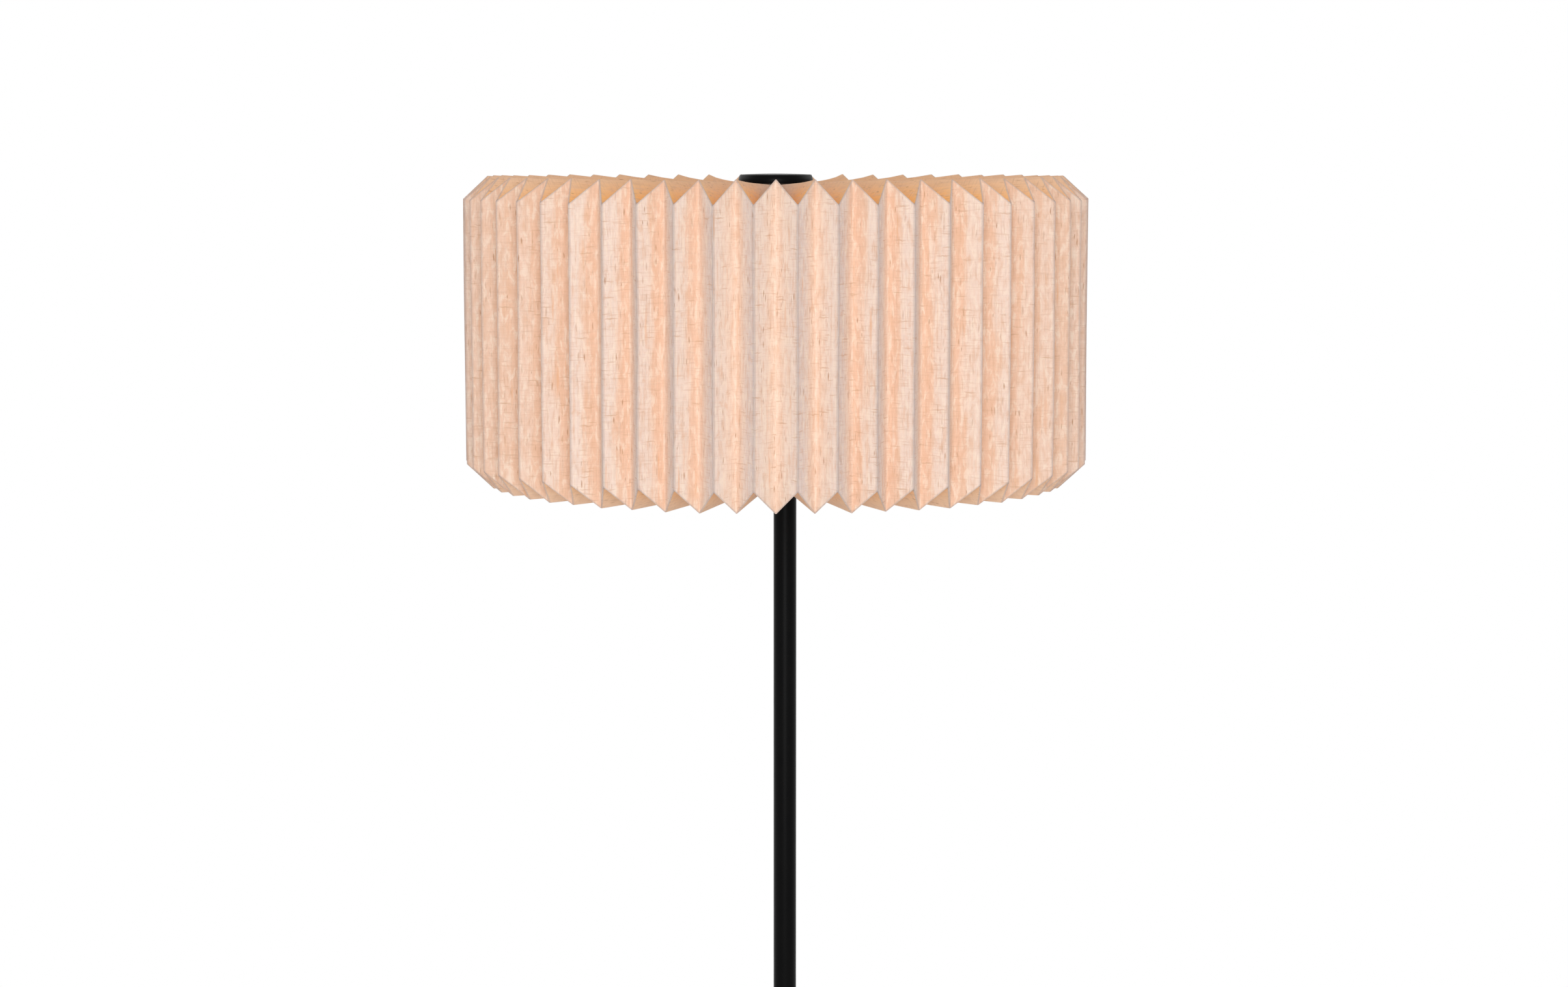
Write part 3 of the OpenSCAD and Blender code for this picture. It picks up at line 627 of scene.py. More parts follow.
def makeShade():
    outer, inside, u, v, toMountain, paintedWarmShade, turnedAway, gap, width = shadeSurface()
    rows, columns = outer.shape[:2]
    count = rows * columns
    quads = gridQuads(rows, columns, wrapColumns=True)
    column = np.arange(columns)
    after = (column + 1) % columns
    topRim = np.stack([column, after, count + after, count + column], -1)
    end = (rows - 1) * columns
    lowRim = np.stack([end + column, count + end + column, count + end + after, end + after], -1)
    # the outer face looks out with its rows running from the hub down to the mouth
    faces = np.vstack([quads[:, ::-1], quads + count, topRim, lowRim])
    points = np.vstack([outer.reshape(-1, 3), inside.reshape(-1, 3)])
    piece = makePiece("foldedShade", (points, faces), "linen_paper", "pleated_shade", "shade", 60)
    mesh = piece.data
    index = np.concatenate([np.zeros(len(quads)), np.ones(len(quads)), np.full(2 * columns, 2)])
    mesh.polygons.foreach_set("material_index", index.astype(np.int32))
    # u is unwrapped at the last panel, so that no quad spans the whole sheet
    total = width * 2 * shade["pleats"]
    loopPoint = np.empty(len(mesh.loops), np.int32)
    mesh.loops.foreach_get("vertex_index", loopPoint)
    flat = np.stack([np.tile(np.tile(u, rows), 2), np.tile(v.reshape(-1), 2)], -1)[loopPoint]
    quadU = flat[:, 0].reshape(-1, 4)
    wraps = quadU.max(1) - quadU.min(1) > total / 2
    quadU[wraps] = np.where(quadU[wraps] < total / 2, quadU[wraps] + total, quadU[wraps])
    flat[:, 0] = quadU.reshape(-1)
    mesh.uv_layers.new(name="sheet").data.foreach_set("uv", flat.reshape(-1))
    for name, values in (("toMountain", np.tile(toMountain, rows)), ("paintedWarmShade", np.tile(paintedWarmShade, rows)),
                         ("turnedAway", np.tile(turnedAway, rows)), ("gap", gap.reshape(-1))):
        layer = mesh.attributes.new(name, "FLOAT", "POINT")
        layer.data.foreach_set("value", np.tile(values, 2).astype(np.float32))


# linen laminated on paper
linen = {
    "outward": (0.865, 0.70, 0.615),  # beside the outward folds: painted light, paler where the pleat is least shaded
    "middle": (0.875, 0.71, 0.595),
    "inward": (0.835, 0.555, 0.405),  # beside the inward folds: painted shade, warm as light bounced inside a pleat
    "cream": (0.92, 0.77, 0.64),
    "paintedAwayShade": (0.73, 0.62, 0.60),  # painted shade beside the outward folds on panels that look away
    "paintedFlapShade": (0.88, 0.54, 0.30),  # painted shade on the folded-in ends, near the slanted creases
    "paintedFlapGlow": (1.0, 0.52, 0.15),  # a painted glow, as of light shining through, deep in the gaps between the pleats
    "flapShadeReach": 0.19,  # how far from the crease the painted shade fades, m
    "flapShadeSides": (0.08, 0.23),  # and it is weaker past these distances from the middle, m
    "yarn": (0.80, 0.52, 0.36),
    "slub": (0.80, 0.46, 0.27),
    "fleck": (0.46, 0.23, 0.115),
    "thread": (0.64, 0.39, 0.25),
    "foldShadow": (0.36, 0.29, 0.28),
    "stain": (0.74, 0.46, 0.30),
    "edgeLine": (0.43, 0.34, 0.32),
    "foldLine": 0.045,  # share of a panel that an outward fold's painted shadow line takes
    "edgeWidth": 0.0019,
    "roughness": 0.86,
}


def linenMaterial():
    material = bpy.data.materials.new("slubbyLinen")
    net = NodeNet(material)
    mix, between, flat = net.mix, net.between, net.flat()
    toMountain, paintedWarmShade, gap, away = (
        net.wire("ShaderNodeAttribute", output="Fac", attribute_name=name)
        for name in ("toMountain", "paintedWarmShade", "gap", "turnedAway"))
    place = net.node("ShaderNodeSeparateXYZ", {0: net.place()}).outputs
    sideways, upward = net.math("ABSOLUTE", Wire(net, place["X"])), Wire(net, place["Z"])

    def grain(scale, detail, roughness=0.5, distortion=0.0, move=(0, 0)):
        return net.noise(net.stretched(flat, scale, move), 1.0, detail, roughness, distortion)

    # painted shade: the colour goes from pale at the outward folds to warm at the inward ones, as
    # light bounced inside a pleat, with an uneven border that wanders in upright streaks; pleats
    # far round from the front are warmed all over
    clouds = grain((34, 9), 3.0, 0.55)
    border = toMountain + (clouds + grain((190, 14), 2.0, move=(5, 2)) - 1.0) * 0.9
    plain = net.ramp(border, [(0.1, linen["middle"]), (0.9, linen["outward"])])
    allOver = net.math("MAXIMUM", paintedWarmShade - 1.0, 0.0)
    inwardFoldShade = between(toMountain, 0.5, 0.08, True) * (
        0.42 + 0.23 * net.math("MAXIMUM", away, paintedWarmShade, True))
    warmShadeMask = net.math("MAXIMUM", between(border, 0.62, 0.28, True) * paintedWarmShade, inwardFoldShade)
    colour = mix(net.math("ADD", warmShadeMask, allOver, True), plain, linen["inward"])

    # painted shade: panels that look away turn grey towards the outward folds
    paintedAwayShade = between(toMountain, 0.2, 0.85, True) * away
    colour = mix(paintedAwayShade * 0.55, colour, linen["paintedAwayShade"])

    # painted shade: the folded-in ends are tan, most of all near the slanted creases and in the
    # middle of the front, and more on top than below
    reach, middle = linen["flapShadeReach"], shade["middle"]
    nearCrease = between(gap, -reach, -reach * 0.3, True)
    paintedFlapShade = between(gap, 0.0, -0.0015) * (0.3 + 0.7 * nearCrease)
    paintedFlapShade = paintedFlapShade * (1.0 - 0.4 * between(sideways, *linen["flapShadeSides"], True))
    paintedFlapShade = paintedFlapShade * (0.6 + 0.4 * between(upward, middle - 0.05, middle + 0.05))
    colour = mix(paintedFlapShade * 0.9, colour, linen["paintedFlapShade"])
    # painted glow: deep in the gaps, and most in the middle of the front, the ends turn bright
    # orange as though lit from within
    deep = between(toMountain, 0.1, 0.8) * nearCrease * paintedFlapShade
    front = 0.95 + 0.9 * between(sideways, 0.045, 0.015, True)
    colour = mix(net.math("MULTIPLY", deep, front, True), colour, linen["paintedFlapGlow"])

    # yarns: thin upright ones, thin level ones and slubs
    streaks, rungs = grain((900, 26), 3.0, 0.6), grain((45, 1100), 3.0, 0.6)
    slubs = grain((420, 30), 1.0, move=(1, 9))
    colour = mix(between(slubs, 0.55, 0.72) * 0.4, colour, linen["yarn"])
    for yarns, tones in ((streaks, (0.78, 0.98, 1.04)), (rungs, (0.82, 0.99, 1.03))):
        stops = [(at, grey(tone)) for at, tone in zip((0.25, 0.5, 0.8), tones)]
        colour = mix(0.4, colour, net.ramp(yarns, stops), "MULTIPLY")
    stains = grain((240, 90), 4.0, 0.65, 0.6, move=(8, 3))
    colour = mix(between(stains, 0.52, 0.7) * 0.55, colour, linen["stain"])
    onWall = between(gap, -0.001, 0.001)
    colour = mix(between(stains, 0.5, 0.36) * (onWall * 0.6), colour, linen["cream"])
    patchy = between(clouds, 0.35, 0.6)
    for scale, strength in (((620, 50), 0.5), ((60, 760), 0.45)):
        hairs = between(grain(scale, 2.0, 0.6, 0.3, move=(2, 6)), 0.56, 0.7)
        colour = mix(hairs * (patchy * 0.6 + 0.4) * strength, colour, linen["thread"])

    # marks on a slightly shaken sheet: long slubs, faint flecks, level threads and brown flecks
    jitter = net.noise(net.stretched(flat, (260, 160)), 1.0, 1.0, output="Color")
    jitter = net.wire("ShaderNodeVectorMath", {0: jitter, "Scale": 0.0016}, operation="SCALE")
    shaken = net.wire("ShaderNodeVectorMath", {0: flat, 1: jitter}, operation="ADD")
    marks = {}
    for name, scale, size, share, strength, tone in (
            ("long", (200, 17), 0.28, 0.5, 0.75, "slub"),
            ("faint", (500, 90), 0.34, 0.55, 0.45, "fleck"),
            ("threads", (52, 520), 0.31, 0.5, 0.8, "thread"),
            ("bold", (430, 84), 0.27, 0.30, 0.95, "fleck")):
        marks[name] = net.strewn(shaken, scale, size, share)
        colour = mix(marks[name] * strength, colour, linen[tone])

    # a painted grey shadow line on the outward folds, and a grey line along the slanted creases
    foldLine = between(toMountain, 1 - linen["foldLine"] * 2.6, 1.0, True)
    colour = mix(foldLine * 0.5, colour, linen["foldShadow"])
    edge = between(net.math("ABSOLUTE", gap), linen["edgeWidth"], linen["edgeWidth"] / 3)
    colour = mix(edge * 0.5, colour, linen["edgeLine"])

    # the weave stands out as two sets of yarns
    height = streaks + rungs * 0.8 + marks["bold"] * 0.4 + marks["threads"] * 0.3
    net.principled({"Base Color": colour, "Roughness": linen["roughness"],
                    "Specular IOR Level": 0.2, "Sheen Weight": 0.12, "Sheen Roughness": 0.5},
                   height, 0.00025, 0.5)
    return material


paper = {"light": (0.90, 0.83, 0.72), "dark": (0.84, 0.75, 0.63), "roughness": 0.9}


def paperMaterial(name):
    material = bpy.data.materials.new(name)
    net = NodeNet(material)
    flat = net.flat()
    fibres = net.noise(net.stretched(flat, (420, 240)), 1.0, 5.0, 0.65, 0.4)
    clouds = net.noise(net.stretched(flat, (18, 18)), 1.0, 2.0)
    colour = net.ramp(clouds, [(0.3, paper["dark"]), (0.7, paper["light"])])
    shadows = net.ramp(fibres, [(0.3, grey(0.82)), (0.6, grey(1.0))])
    net.principled({"Base Color": net.mix(0.4, colour, shadows, "MULTIPLY"),
                    "Roughness": paper["roughness"], "Specular IOR Level": 0.2},
                   fibres, 0.0001, 0.4)
    return material


# hard finishes: each has a colour pair, a roughness pair, the size of its grain and a bump, and
# where they differ from these, how metallic and how mirror-like it is
plainFinish = {"metal": 0.0, "specular": 0.5}
finishes = {
    "satinBlack": {"dark": (0.0014, 0.0014, 0.0016), "light": (0.0026, 0.0025, 0.0025),
                   "rough": (0.30, 0.38), "grain": 900, "bump": 0.00003, "specular": 0.06},
    "rawCasting": {"dark": (0.10, 0.10, 0.105), "light": (0.22, 0.215, 0.21),
                   "rough": (0.55, 0.8), "metal": 0.6, "grain": 260, "bump": 0.0003},
    "zincPlate": {"dark": (0.50, 0.51, 0.52), "light": (0.66, 0.66, 0.65),
                  "rough": (0.24, 0.42), "metal": 1.0, "grain": 180, "bump": 0.00002},
    "turnedBrass": {"dark": (0.62, 0.43, 0.17), "light": (0.80, 0.60, 0.28),
                    "rough": (0.18, 0.34), "metal": 1.0, "grain": 240, "bump": 0.00002},
    "brightAluminium": {"dark": (0.72, 0.72, 0.73), "light": (0.86, 0.86, 0.86),
                        "rough": (0.22, 0.38), "metal": 1.0, "grain": 300, "bump": 0.00002},
    "blackMoulding": {"dark": (0.014, 0.013, 0.012), "light": (0.030, 0.027, 0.025),
                      "rough": (0.28, 0.42), "grain": 500, "bump": 0.00004},
    "glazedPorcelain": {"dark": (0.80, 0.78, 0.72), "light": (0.90, 0.885, 0.84),
                        "rough": (0.10, 0.22), "grain": 120, "bump": 0.00005},
    "foamRubber": {"dark": (0.018, 0.018, 0.018), "light": (0.055, 0.053, 0.05),
                   "rough": (0.82, 0.95), "grain": 1400, "bump": 0.0002, "specular": 0.3},
}


def hardMaterial(name):
    # a fine grain drives the bump, and a broader one the colour and the shine
    look = {**plainFinish, **finishes[name]}
    material = bpy.data.materials.new(name)
    net = NodeNet(material)
    place = net.place()
    broad = net.noise(place, look["grain"] / 14, 3.0, 0.55)
    fine = net.noise(place, look["grain"], 3.0, 0.6)
    mixed = broad * 0.6 + fine * 0.4
    low, high = look["rough"]
    net.principled({"Base Color": net.ramp(mixed, [(0.35, look["dark"]), (0.65, look["light"])]),
                    "Roughness": net.between(mixed, 0.35, 0.65, False, low, high),
                    "Metallic": look["metal"], "Specular IOR Level": look["specular"]},
                   fine, look["bump"], 1.0)
    return material


opal = {"colour": (0.93, 0.90, 0.83), "rim": (0.82, 0.78, 0.70), "roughness": 0.32}


def opalMaterial():
    # frosted inside, so it looks milky
    material = bpy.data.materials.new("frostedGlass")
    net = NodeNet(material)
    frost = net.noise(net.place(), 700, 3.0, 0.6)
    net.principled({"Base Color": net.ramp(frost, [(0.3, opal["rim"]), (0.6, opal["colour"])]),
                    "Roughness": opal["roughness"], "IOR": 1.5, "Transmission Weight": 0.25,
                    "Coat Weight": 0.6, "Coat Roughness": 0.05}, frost, 0.00003, 0.6)
    return material


materialsOf = {slot: [hardMaterial(name)] for slot, name in (
    ("black_steel", "satinBlack"), ("iron", "rawCasting"), ("zinc_steel", "zincPlate"),
    ("brass", "turnedBrass"), ("aluminium", "brightAluminium"),
    ("black_plastic", "blackMoulding"), ("porcelain", "glazedPorcelain"),
    ("soft_pad", "foamRubber"))}
materialsOf["linen_paper"] = [linenMaterial(), paperMaterial("paperBacking"),
                              paperMaterial("cutEdge")]
materialsOf["frosted_glass"] = [opalMaterial()]
print("materials made")

makeShade()
print("shade folded")


def section(inner, outer, height, edges):
    # a wall's section as a rectangle; edges soften its corners, from the low inner one on
    corners = ((inner, 0), (outer, 0), (outer, height), (inner, height))
    return softCorners([(*corner, edge) for corner, edge in zip(corners, edges)], True)


# cap over the hub, all hardware sizes in mm
cap = {"low": 1552.0, "radius": 30.0, "topRadius": 28.7, "height": 7.2, "dome": 0.8,
       "wall": 1.5, "edge": 0.8, "bushLow": 1553.0, "bushRadius": 6.7, "bushHeight": 4.7,
       "bore": 3.25, "knurls": 24, "knurlDepth": 0.3}


def makeCap():
    share = np.linspace(1, 0, 12)[1:]
    dome = [(cap["topRadius"] * u, cap["height"] + cap["dome"] * (1 - u ** 2)) for u in share]
    inside, ceiling = cap["radius"] - cap["wall"], cap["height"] - cap["wall"]
    profile = softCorners([(0, ceiling), (inside, ceiling, 0.6), (inside, 0, 0.3),
                           (cap["radius"], 0, 0.3), (cap["radius"], cap["height"] / 2, 1.2),
                           (cap["topRadius"], cap["height"], cap["edge"])] + dome)
    makePiece("capDish", turned(profile, (0, 0, cap["low"]), 144), "black_steel", "shade_cap",
              "cap")
    tall = cap["bushHeight"]
    profile = section(cap["bore"], cap["bushRadius"], tall, (0.3, 0.4, 0.3, 0.3))
    knurled = flutes(cap["knurls"], cap["knurlDepth"], 0.4, 4.2, 5.0, 3.0)
    makePiece("capBush", turned(steppedWall(profile, 0, tall, 8), (0, 0, cap["bushLow"]), 96, True,
                                knurled), "brass", "cap_insert", "cap")


# pole in three tubes, with its collar
pole = {"x": 7.5, "radius": 9.25, "wall": 1.2, "joints": (28.0, 455.03, 882.07, 1309.1),
        "endRound": 0.35, "collarRadius": 13.5, "collarHeight": 14.0, "collarFloor": 4.0,
        "collarBore": 9.3, "stemHole": 5.1, "coverTop": 24.0}
poleX = pole["x"]


def makePole():
    outer, inside, edge = pole["radius"], pole["radius"] - pole["wall"], pole["endRound"]
    for name, low, high in zip(("lower", "middle", "upper"), pole["joints"], pole["joints"][1:]):
        profile = softCorners([(outer, 0, edge), (outer, high - low, edge),
                               (inside, high - low, 0.2), (inside, 0, 0.2)], True)
        makePiece("tube." + name, turned(profile, (poleX, 0, low), 128, True), "black_steel",
                  "pole_" + name)
    wide, tall, floor = pole["collarRadius"], pole["collarHeight"], pole["collarFloor"]
    hole, socket = pole["stemHole"], pole["collarBore"]
    profile = softCorners([(hole, 0, 0.2), (wide, 0, 0.4), (wide, tall - 2.2, 1.0),
                           (wide - 1.8, tall, 0.9), (socket, tall, 0.3), (socket, floor, 0.2),
                           (hole, floor, 0.2)], True)
    makePiece("footCollar", turned(profile, (poleX, 0, pole["coverTop"]), 128, True),
              "black_steel", "foot_collar")


# base: the pad, the washer, the nut and the hollow bolt under it, and the lead's bush
base = {"padOuter": 136.8, "padWidth": 60.0, "padHeight": 2.5, "stemRadius": 4.9,
        "stemBore": 3.3, "stemLow": 4.0, "stemHigh": 47.0, "washerLow": 11.5, "washerOuter": 18.0,
        "washerThick": 2.0, "nutLow": 5.5, "nutHeight": 6.0, "bushPlace": (145.0, 9.5),
        "bushFlange": 7.4, "bushNeck": 5.2, "bushBore": 3.6, "bushEnds": (-2.5, 6.2)}
nut = {"corner": 9.9, "bore": 5.0}


def hexNut(height, *centre):
    # a nut with chamfered corners and a slightly countersunk bore
    profile = section(nut["bore"], nut["corner"], height, (0.4, 0.1, 0.1, 0.4))
    return turned(steppedWall(profile, 0, height, 12), centre, 96, True,
                  hexagon(nut["corner"], 0, height, nut["bore"] + 0.6))


def makeBase():
    outer = base["padOuter"]
    pad = section(outer - base["padWidth"], outer, base["padHeight"], (0.7, 0.7, 0.5, 0.5))
    makePiece("padRing", turned(pad, (poleX, 0, 0), 180, True), "soft_pad", "base_pad")
    washer = section(pole["stemHole"], base["washerOuter"], base["washerThick"],
                     (0.3, 0.4, 0.4, 0.3))
    makePiece("baseWasher", turned(washer, (poleX, 0, base["washerLow"]), 96, True),
              "zinc_steel", "base_washer")
    makePiece("baseNut", hexNut(base["nutHeight"], poleX, 0, base["nutLow"]), "zinc_steel",
              "base_nut")
    high = base["stemHigh"] - base["stemLow"]
    stem = section(base["stemBore"], base["stemRadius"], high, (0.3, 0.5, 0.5, 0.3))
    makePiece("baseBolt", turned(steppedWall(stem, 0, high, 340), (poleX, 0, base["stemLow"]), 48,
                                 True, thread(1.0, 0.28, 0.2, high - 0.2, 4.0)),
              "zinc_steel", "base_stem")
    flange, neck, bore = base["bushFlange"], base["bushNeck"], base["bushBore"]
    outward, inward = base["bushEnds"]
    bush = softCorners([(bore, outward, 0.5), (flange - 1, outward, 0.9), (flange, 0, 0.2),
                        (neck, 0, 0.2), (neck, inward, 0.5), (bore, inward, 0.4)], True)
    makePiece("leadBush", turned(bush, (poleX, *base["bushPlace"]), 64, True, front=True),
              "black_plastic", "lead_bush")


# harp: one bent wire, its seat and stud, the strip below and the sliding ferrules
harp = {"wire": 2.0, "topHeight": 1518.94, "pull": 100.0, "seatRadius": 11.0, "feet": 31.0,
        "footHigh": 1343.1, "footLow": 1319.1, "strip": 1309.1, "stripThick": 2.0,
        "stripHalf": 7.5, "pegHeight": 7.99, "lockNut": 3.0, "studRadius": 3.2, "studTop": 1557.1,
        "seatLow": 1515.94, "seatThick": 6.0, "ferruleLow": 1311.4, "ferruleLength": 16.0,
        "ferruleBore": 2.05, "ferruleRadius": 3.25, "ribPitch": 1.3, "ribDepth": 0.22,
        "ribbedHalf": 4.4}


def harpPath(steps=44):
    # each half is a cubic curve from the seat to the foot, (1-u)^3 A + 3 (1-u)^2 u B
    # + 3 (1-u) u^2 C + u^3 D, and then runs straight down
    halves = []
    top = harp["topHeight"]
    for side in (-1, 1):
        foot = poleX + side * harp["feet"]
        a, b = np.array([[side * (harp["seatRadius"] + 1), top], [side * harp["pull"], top]])
        c, d = np.array([[foot, harp["footHigh"] + 60], [foot, harp["footHigh"]]])
        u = np.linspace(0, 1, steps)[:, None]
        bent = (1 - u) ** 3 * a + 3 * (1 - u) ** 2 * u * b + 3 * (1 - u) * u ** 2 * c + u ** 3 * d
        down = np.linspace(harp["footHigh"], harp["footLow"], 6)[1:]
        halves.append(np.vstack([bent, np.stack([foot + 0 * down, down], -1)]))
    across = np.linspace(-harp["seatRadius"], harp["seatRadius"], 4)
    middle = np.stack([across, top + 0 * across], -1)
    return np.vstack([halves[0][::-1], middle, halves[1]])


def roundEnded(radius, height, angle):
    # a strip with round ends: its edge is where a ray meets the flat side, or else the end's arc
    half, feet = harp["stripHalf"], harp["feet"]
    c, s = np.abs(np.cos(angle)), np.abs(np.sin(angle)) + 1e-9
    arc = feet * c + np.sqrt(np.maximum(half ** 2 - (feet * s) ** 2, 0))
    edge = np.where(half / s * c <= feet, half / s, arc)
    return np.where(radius > 6, radius - half + edge, radius), height


def ribbed(radius, height, angle):
    # grooves round the middle of a ferrule, one at each pitch
    fromMiddle = np.abs(height - harp["ferruleLength"] / 2)
    groove = np.sin(height * 2 * np.pi / harp["ribPitch"]) < -0.2
    groove = groove & (fromMiddle < harp["ribbedHalf"]) & (radius > 2.6)
    return radius - harp["ribDepth"] * groove, height


def makeHarp():
    makePiece("harpWire", swept(harpPath(), harp["wire"], 20), "zinc_steel", "harp")
    stud, tall = harp["studRadius"], harp["studTop"] - harp["seatLow"]
    seat, thick = harp["seatRadius"], harp["seatThick"]
    turns = [(stud, thick + 0.8 + k * 0.25) for k in range(int((tall - thick - 1.8) / 0.25))]
    profile = softCorners([(0, 0), (seat, 0, 0.9), (seat, thick, 0.7), (stud + 0.6, thick, 0.3)]
                          + turns
                          + [(stud, tall - 0.8, 0.3), (stud - 0.9, tall, 0.4), (0, tall)])
    makePiece("harpSeat", turned(profile, (0, 0, harp["seatLow"]), 64,
                                 bend=thread(1.0, 0.25, 8.5, tall - 1.2)),
              "zinc_steel", "harp_stud")
    half, feet, thick = harp["stripHalf"], harp["feet"], harp["stripThick"]
    hole, top = pole["stemHole"], thick + harp["pegHeight"]
    strip = section(hole, half, thick, (0.3, 0.35, 0.35, 0.3))
    peg = softCorners([(0, 0.3), (2, 0.3), (2, top, 0.4), (0, top)])
    pegs = [turned(peg, (poleX + side * feet, 0, harp["strip"]), 32) for side in (-1, 1)]
    makePiece("harpStrip", joined(turned(strip, (poleX, 0, harp["strip"]), 360, True, roundEnded),
                                  *pegs), "zinc_steel", "harp_saddle")
    makePiece("stripNut", hexNut(harp["lockNut"], poleX, 0, harp["strip"] + thick), "zinc_steel",
              "harp_lock_nut")
    long = harp["ferruleLength"]
    sleeve = section(harp["ferruleBore"], harp["ferruleRadius"], long, (0.15, 0.45, 0.45, 0.15))
    for name, side in (("left", -1), ("right", 1)):
        shape = turned(steppedWall(sleeve, 0, long, 60),
                       (poleX + side * feet, 0, harp["ferruleLow"]), 48, True, ribbed)
        makePiece("lockSleeve." + name, shape, "zinc_steel", "ferrule_" + name, "ferrule_" + name)


# lampholder with its turn switch
holder = {"capLow": 1314.1, "capHeight": 20.0, "sleeveLow": 1334.1, "sleeveHeight": 42.0,
          "radius": 20.0, "wall": 1.6, "boss": 7.9, "grooveDepth": 0.5, "ribs": 40,
          "ribDepth": 0.45, "linerRadius": 18.4, "linerHeight": 38.0, "knobRadius": 6.5,
          "knobStart": 24.0, "knobLength": 11.0, "knobHeight": 1340.1, "spindle": 1.6,
          "shellRadius": 13.7, "shellLow": 1346.1, "shellHeight": 24.0, "shellPitch": 3.62}


def makeHolder():
    out, tall, wall, boss = holder["radius"], holder["capHeight"], holder["wall"], holder["boss"]
    rise = np.linspace(0, np.pi / 2, 14)
    dome = [(boss + (out - boss) * math.sin(a), 4 + (tall - 4) * (1 - math.cos(a))) for a in rise]
    under = [(boss + (out - wall - boss) * math.sin(a), 6 + (tall - 6) * (1 - math.cos(a)))
             for a in rise[::-1]]
    profile = softCorners([(5.0, 0, 0.3), (boss, 0, 0.7)] + dome + under
                          + [(boss, 10, 0.3), (5.0, 10, 0.3)], True)
    makePiece("holderDome", turned(profile, (poleX, 0, holder["capLow"]), 96, True),
              "black_plastic", "holder_cap")
    tall, groove = holder["sleeveHeight"], out - holder["grooveDepth"]
    profile = softCorners([(out - wall, 0, 0.2), (out, 0, 0.5), (out, 12.6, 0.4),
                           (groove, 13, 0.3), (groove, 13.8, 0.3), (out, 14.2, 0.4),
                           (out, tall - 4.2, 0.4), (groove, tall - 3.9, 0.3),
                           (groove, tall - 3.3, 0.3), (out, tall - 3, 0.4), (out, tall, 0.7),
                           (out - wall, tall, 0.5)], True)
    ribs = flutes(holder["ribs"], holder["ribDepth"], 15.4, tall - 5.4, 19.2, 0.7)
    sleeve = turned(steppedWall(profile, 0, 14, 24), (poleX, 0, holder["sleeveLow"]), 240, True,
                    ribs)
    collar = softCorners([(2.0, 0, 0.2), (5.2, 0, 0.2), (4.8, 1.5, 0.5), (2.0, 1.5, 0.3)], True)
    collar = turned(collar, (poleX, -18.5, holder["knobHeight"]), 48, True, front=True)
    makePiece("holderSleeve", joined(sleeve, collar), "black_plastic", "holder_sleeve")
    out = holder["linerRadius"]
    profile = section(out - 1, out, holder["linerHeight"], (0.2, 0.2, 0.3, 0.3))
    makePiece("holderLiner", turned(profile, (poleX, 0, holder["sleeveLow"]), 96, True),
              "black_plastic", "holder_liner")
    tall, shell, low = holder["shellHeight"], holder["shellRadius"], holder["shellLow"]
    profile = section(shell, shell + 0.5, tall, (0.1, 0.1, 0.1, 0.1))
    makePiece("screwShell", turned(steppedWall(profile, 0, tall, 90), (poleX, 0, low), 96, True,
                                   thread(holder["shellPitch"], 0.4, 1, tall - 1)),
              "brass", "holder_screw_shell")
    tongue = softCorners([(0, 0), (3, 0, 0.3), (3, 1.1, 0.5), (1.2, 1.6, 0.5), (0, 1.6)])
    makePiece("middleContact", turned(tongue, (poleX, 0, low + 1), 48), "brass", "holder_contact")
    big, thin, start = holder["knobRadius"], holder["spindle"], holder["knobStart"]
    end = start + holder["knobLength"]
    knob = softCorners([(0, 7), (thin, 7, 0.2), (thin, start, 0.1), (big, start, 0.5),
                        (big, end, 1.3), (big - 2.4, end - 0.5, 0.6), (0, end - 0.5)])
    makePiece("switchKnob", turned(steppedWall(knob, start, end, 14),
                                   (poleX, 0, holder["knobHeight"]), 144,
                                   bend=flutes(18, 0.75, start + 0.2, end - 0.5, 4.6, 2.0),
                                   front=True),
              "black_plastic", "switch_knob", "switch")


# bulb, from its contact up
bulb = {"contact": 1349.1, "capStart": 1355.1, "capRadius": 13.2, "capHeight": 19.0,
        "glassStart": 1372.1, "top": 1457.1, "radius": 30.0, "neckLift": 14.0, "neckPull": 18.0,
        "crownStart": -38, "insulator": (6.0, 4.0), "button": (3.4, 4.6, 2.0)}


def glassLine():
    # the neck swells along a cubic curve into a round crown that starts 38 degrees below its middle
    radius, middle = bulb["radius"], bulb["top"] - bulb["radius"] - bulb["glassStart"]
    start = math.radians(bulb["crownStart"])
    neck = np.array([bulb["capRadius"] - 0.5, 6.0])
    edge = np.array([radius * math.cos(start), middle + radius * math.sin(start)])
    b = neck + (0, bulb["neckLift"])
    c = edge + bulb["neckPull"] * np.array([math.sin(start), -math.cos(start)])
    u = np.linspace(0, 1, 24)[:-1, None]
    swell = ((1 - u) ** 3 * neck + 3 * (1 - u) ** 2 * u * b + 3 * (1 - u) * u ** 2 * c
             + u ** 3 * edge)
    a = np.linspace(start, np.pi / 2, 40)[:, None]
    crown = np.hstack([radius * np.cos(a), middle + radius * np.sin(a)])
    crown[-1, 0] = 0
    foot = [[0, 0.2], [bulb["capRadius"] - 0.8, 0.2]]
    return np.vstack([foot, swell, crown])


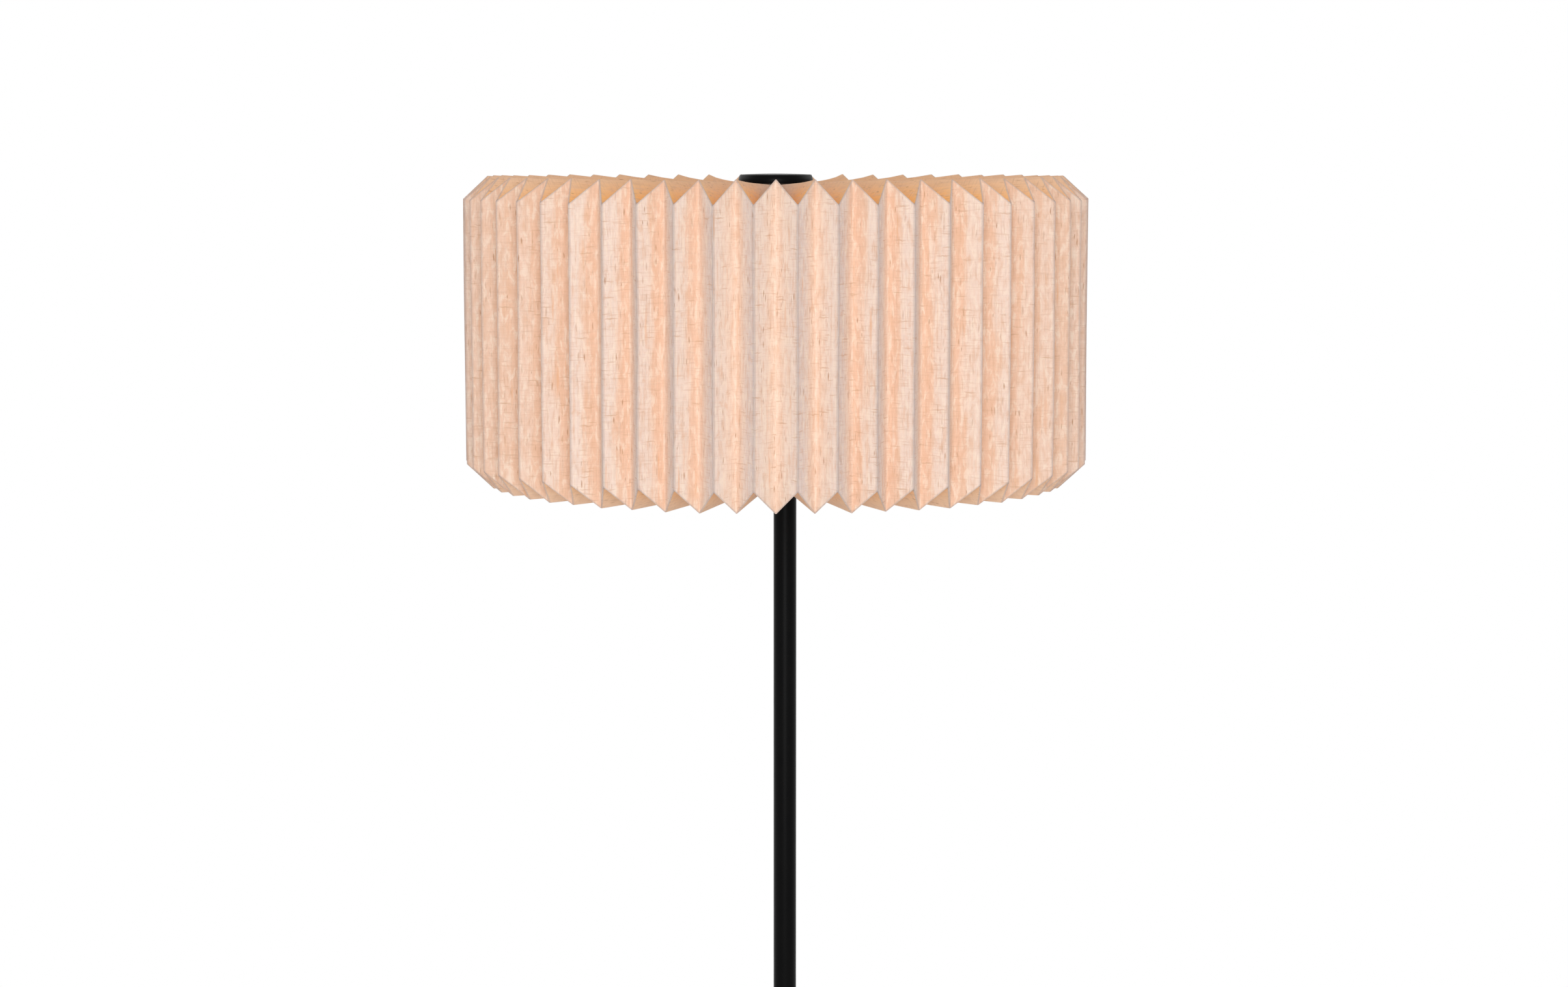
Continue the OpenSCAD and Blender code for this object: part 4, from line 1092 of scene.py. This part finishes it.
def makeBulb():
    makePiece("bulbGlass", turned(glassLine(), (poleX, 0, bulb["glassStart"]), 128),
              "frosted_glass", "bulb_glass", "bulb")
    tall, wide = bulb["capHeight"], bulb["capRadius"]
    profile = softCorners([(0, 0), (wide - 2.2, 0, 0.4), (wide - 0.3, 1.4, 0.5),
                           (wide - 0.3, 2.2, 0.2), (wide, 2.6, 0.1), (wide, tall - 3.2, 0.2),
                           (wide - 0.4, tall - 2.6, 0.2), (wide - 0.4, tall - 1.1, 0.2),
                           (wide, tall - 0.3, 0.25), (wide - 0.5, tall, 0.2),
                           (wide - 0.8, tall - 2), (0, tall - 2)])
    screw = thread(holder["shellPitch"], 0.75, 2.4, tall - 3.2, wide - 0.9)
    makePiece("bulbCap", turned(steppedWall(profile, 0, tall, 72), (poleX, 0, bulb["capStart"]),
                                96, bend=screw), "aluminium", "bulb_screw_cap", "bulb")
    narrow, tall = bulb["insulator"]
    low, high, thick = bulb["button"]
    cone = softCorners([(0, 0), (narrow, 0, 0.6), (wide - 2, tall, 0.3), (0, tall)])
    makePiece("bulbInsulator", turned(cone, (poleX, 0, bulb["contact"] + thick), 64),
              "black_plastic", "bulb_insulator", "bulb")
    button = softCorners([(0, 0), (low, 0, 0.9), (high, thick, 0.3), (0, thick)])
    makePiece("bulbButton", turned(button, (poleX, 0, bulb["contact"]), 48), "zinc_steel",
              "bulb_contact", "bulb")


# hub under the cap, its washer and the hoop in the shade's mouth
hub = {"low": 1522.24, "flange": 40.0, "flangeThick": 3.0, "core": 22.5, "top": 1551.5,
       "bore": 3.25, "recess": (9.0, 35.0, 0.7), "washer": 27.0, "washerThick": 1.2,
       "washerBore": 3.4, "hoopRadius": 108.5, "hoopWire": 1.5, "hoopHeight": 1324.4}


def makeHub():
    tall, bore = hub["top"] - hub["low"], hub["bore"]
    thick, wide = hub["flangeThick"], hub["flange"]
    near, far, deep = hub["recess"]
    profile = softCorners([(bore, 0, 0.4), (near, 0, 0.3), (near, deep, 0.2), (far, deep, 0.3),
                           (far + 1, 0, 0.4), (wide, 0, 0.8), (wide, thick, 0.8),
                           (hub["core"], thick, 0.6), (hub["core"], tall, 0.4),
                           (bore, tall, 0.3)], True)
    makePiece("hubSpool", turned(profile, (0, 0, hub["low"]), 128, True), "black_plastic",
              "shade_hub", "shade")
    washer = section(hub["washerBore"], hub["washer"], hub["washerThick"], (0.2, 0.3, 0.3, 0.2))
    makePiece("clampWasher", turned(washer, (0, 0, hub["top"]), 96, True), "zinc_steel",
              "hub_washer", "shade")
    turn = np.linspace(0, 2 * np.pi, 24, endpoint=False)
    wire = np.stack([hub["hoopRadius"] + hub["hoopWire"] * np.cos(turn),
                     hub["hoopWire"] * np.sin(turn)], -1)
    makePiece("mouthHoop", turned(wire, (0, 0, hub["hoopHeight"]), 256, True), "zinc_steel",
              "shade_hoop", "shade")


makeCap()
makePole()
makeBase()
makeHarp()
makeHolder()
makeBulb()
makeHub()
print("hardware made")

# a carried-over part takes the finish of its record slot
for part in frame["record"]["subparts"]:
    slots = frame["nodes"][part["node"]].data.materials
    slots.clear()
    slots.append(materialsOf[part["material_slot"]][0])
print("parts dressed")
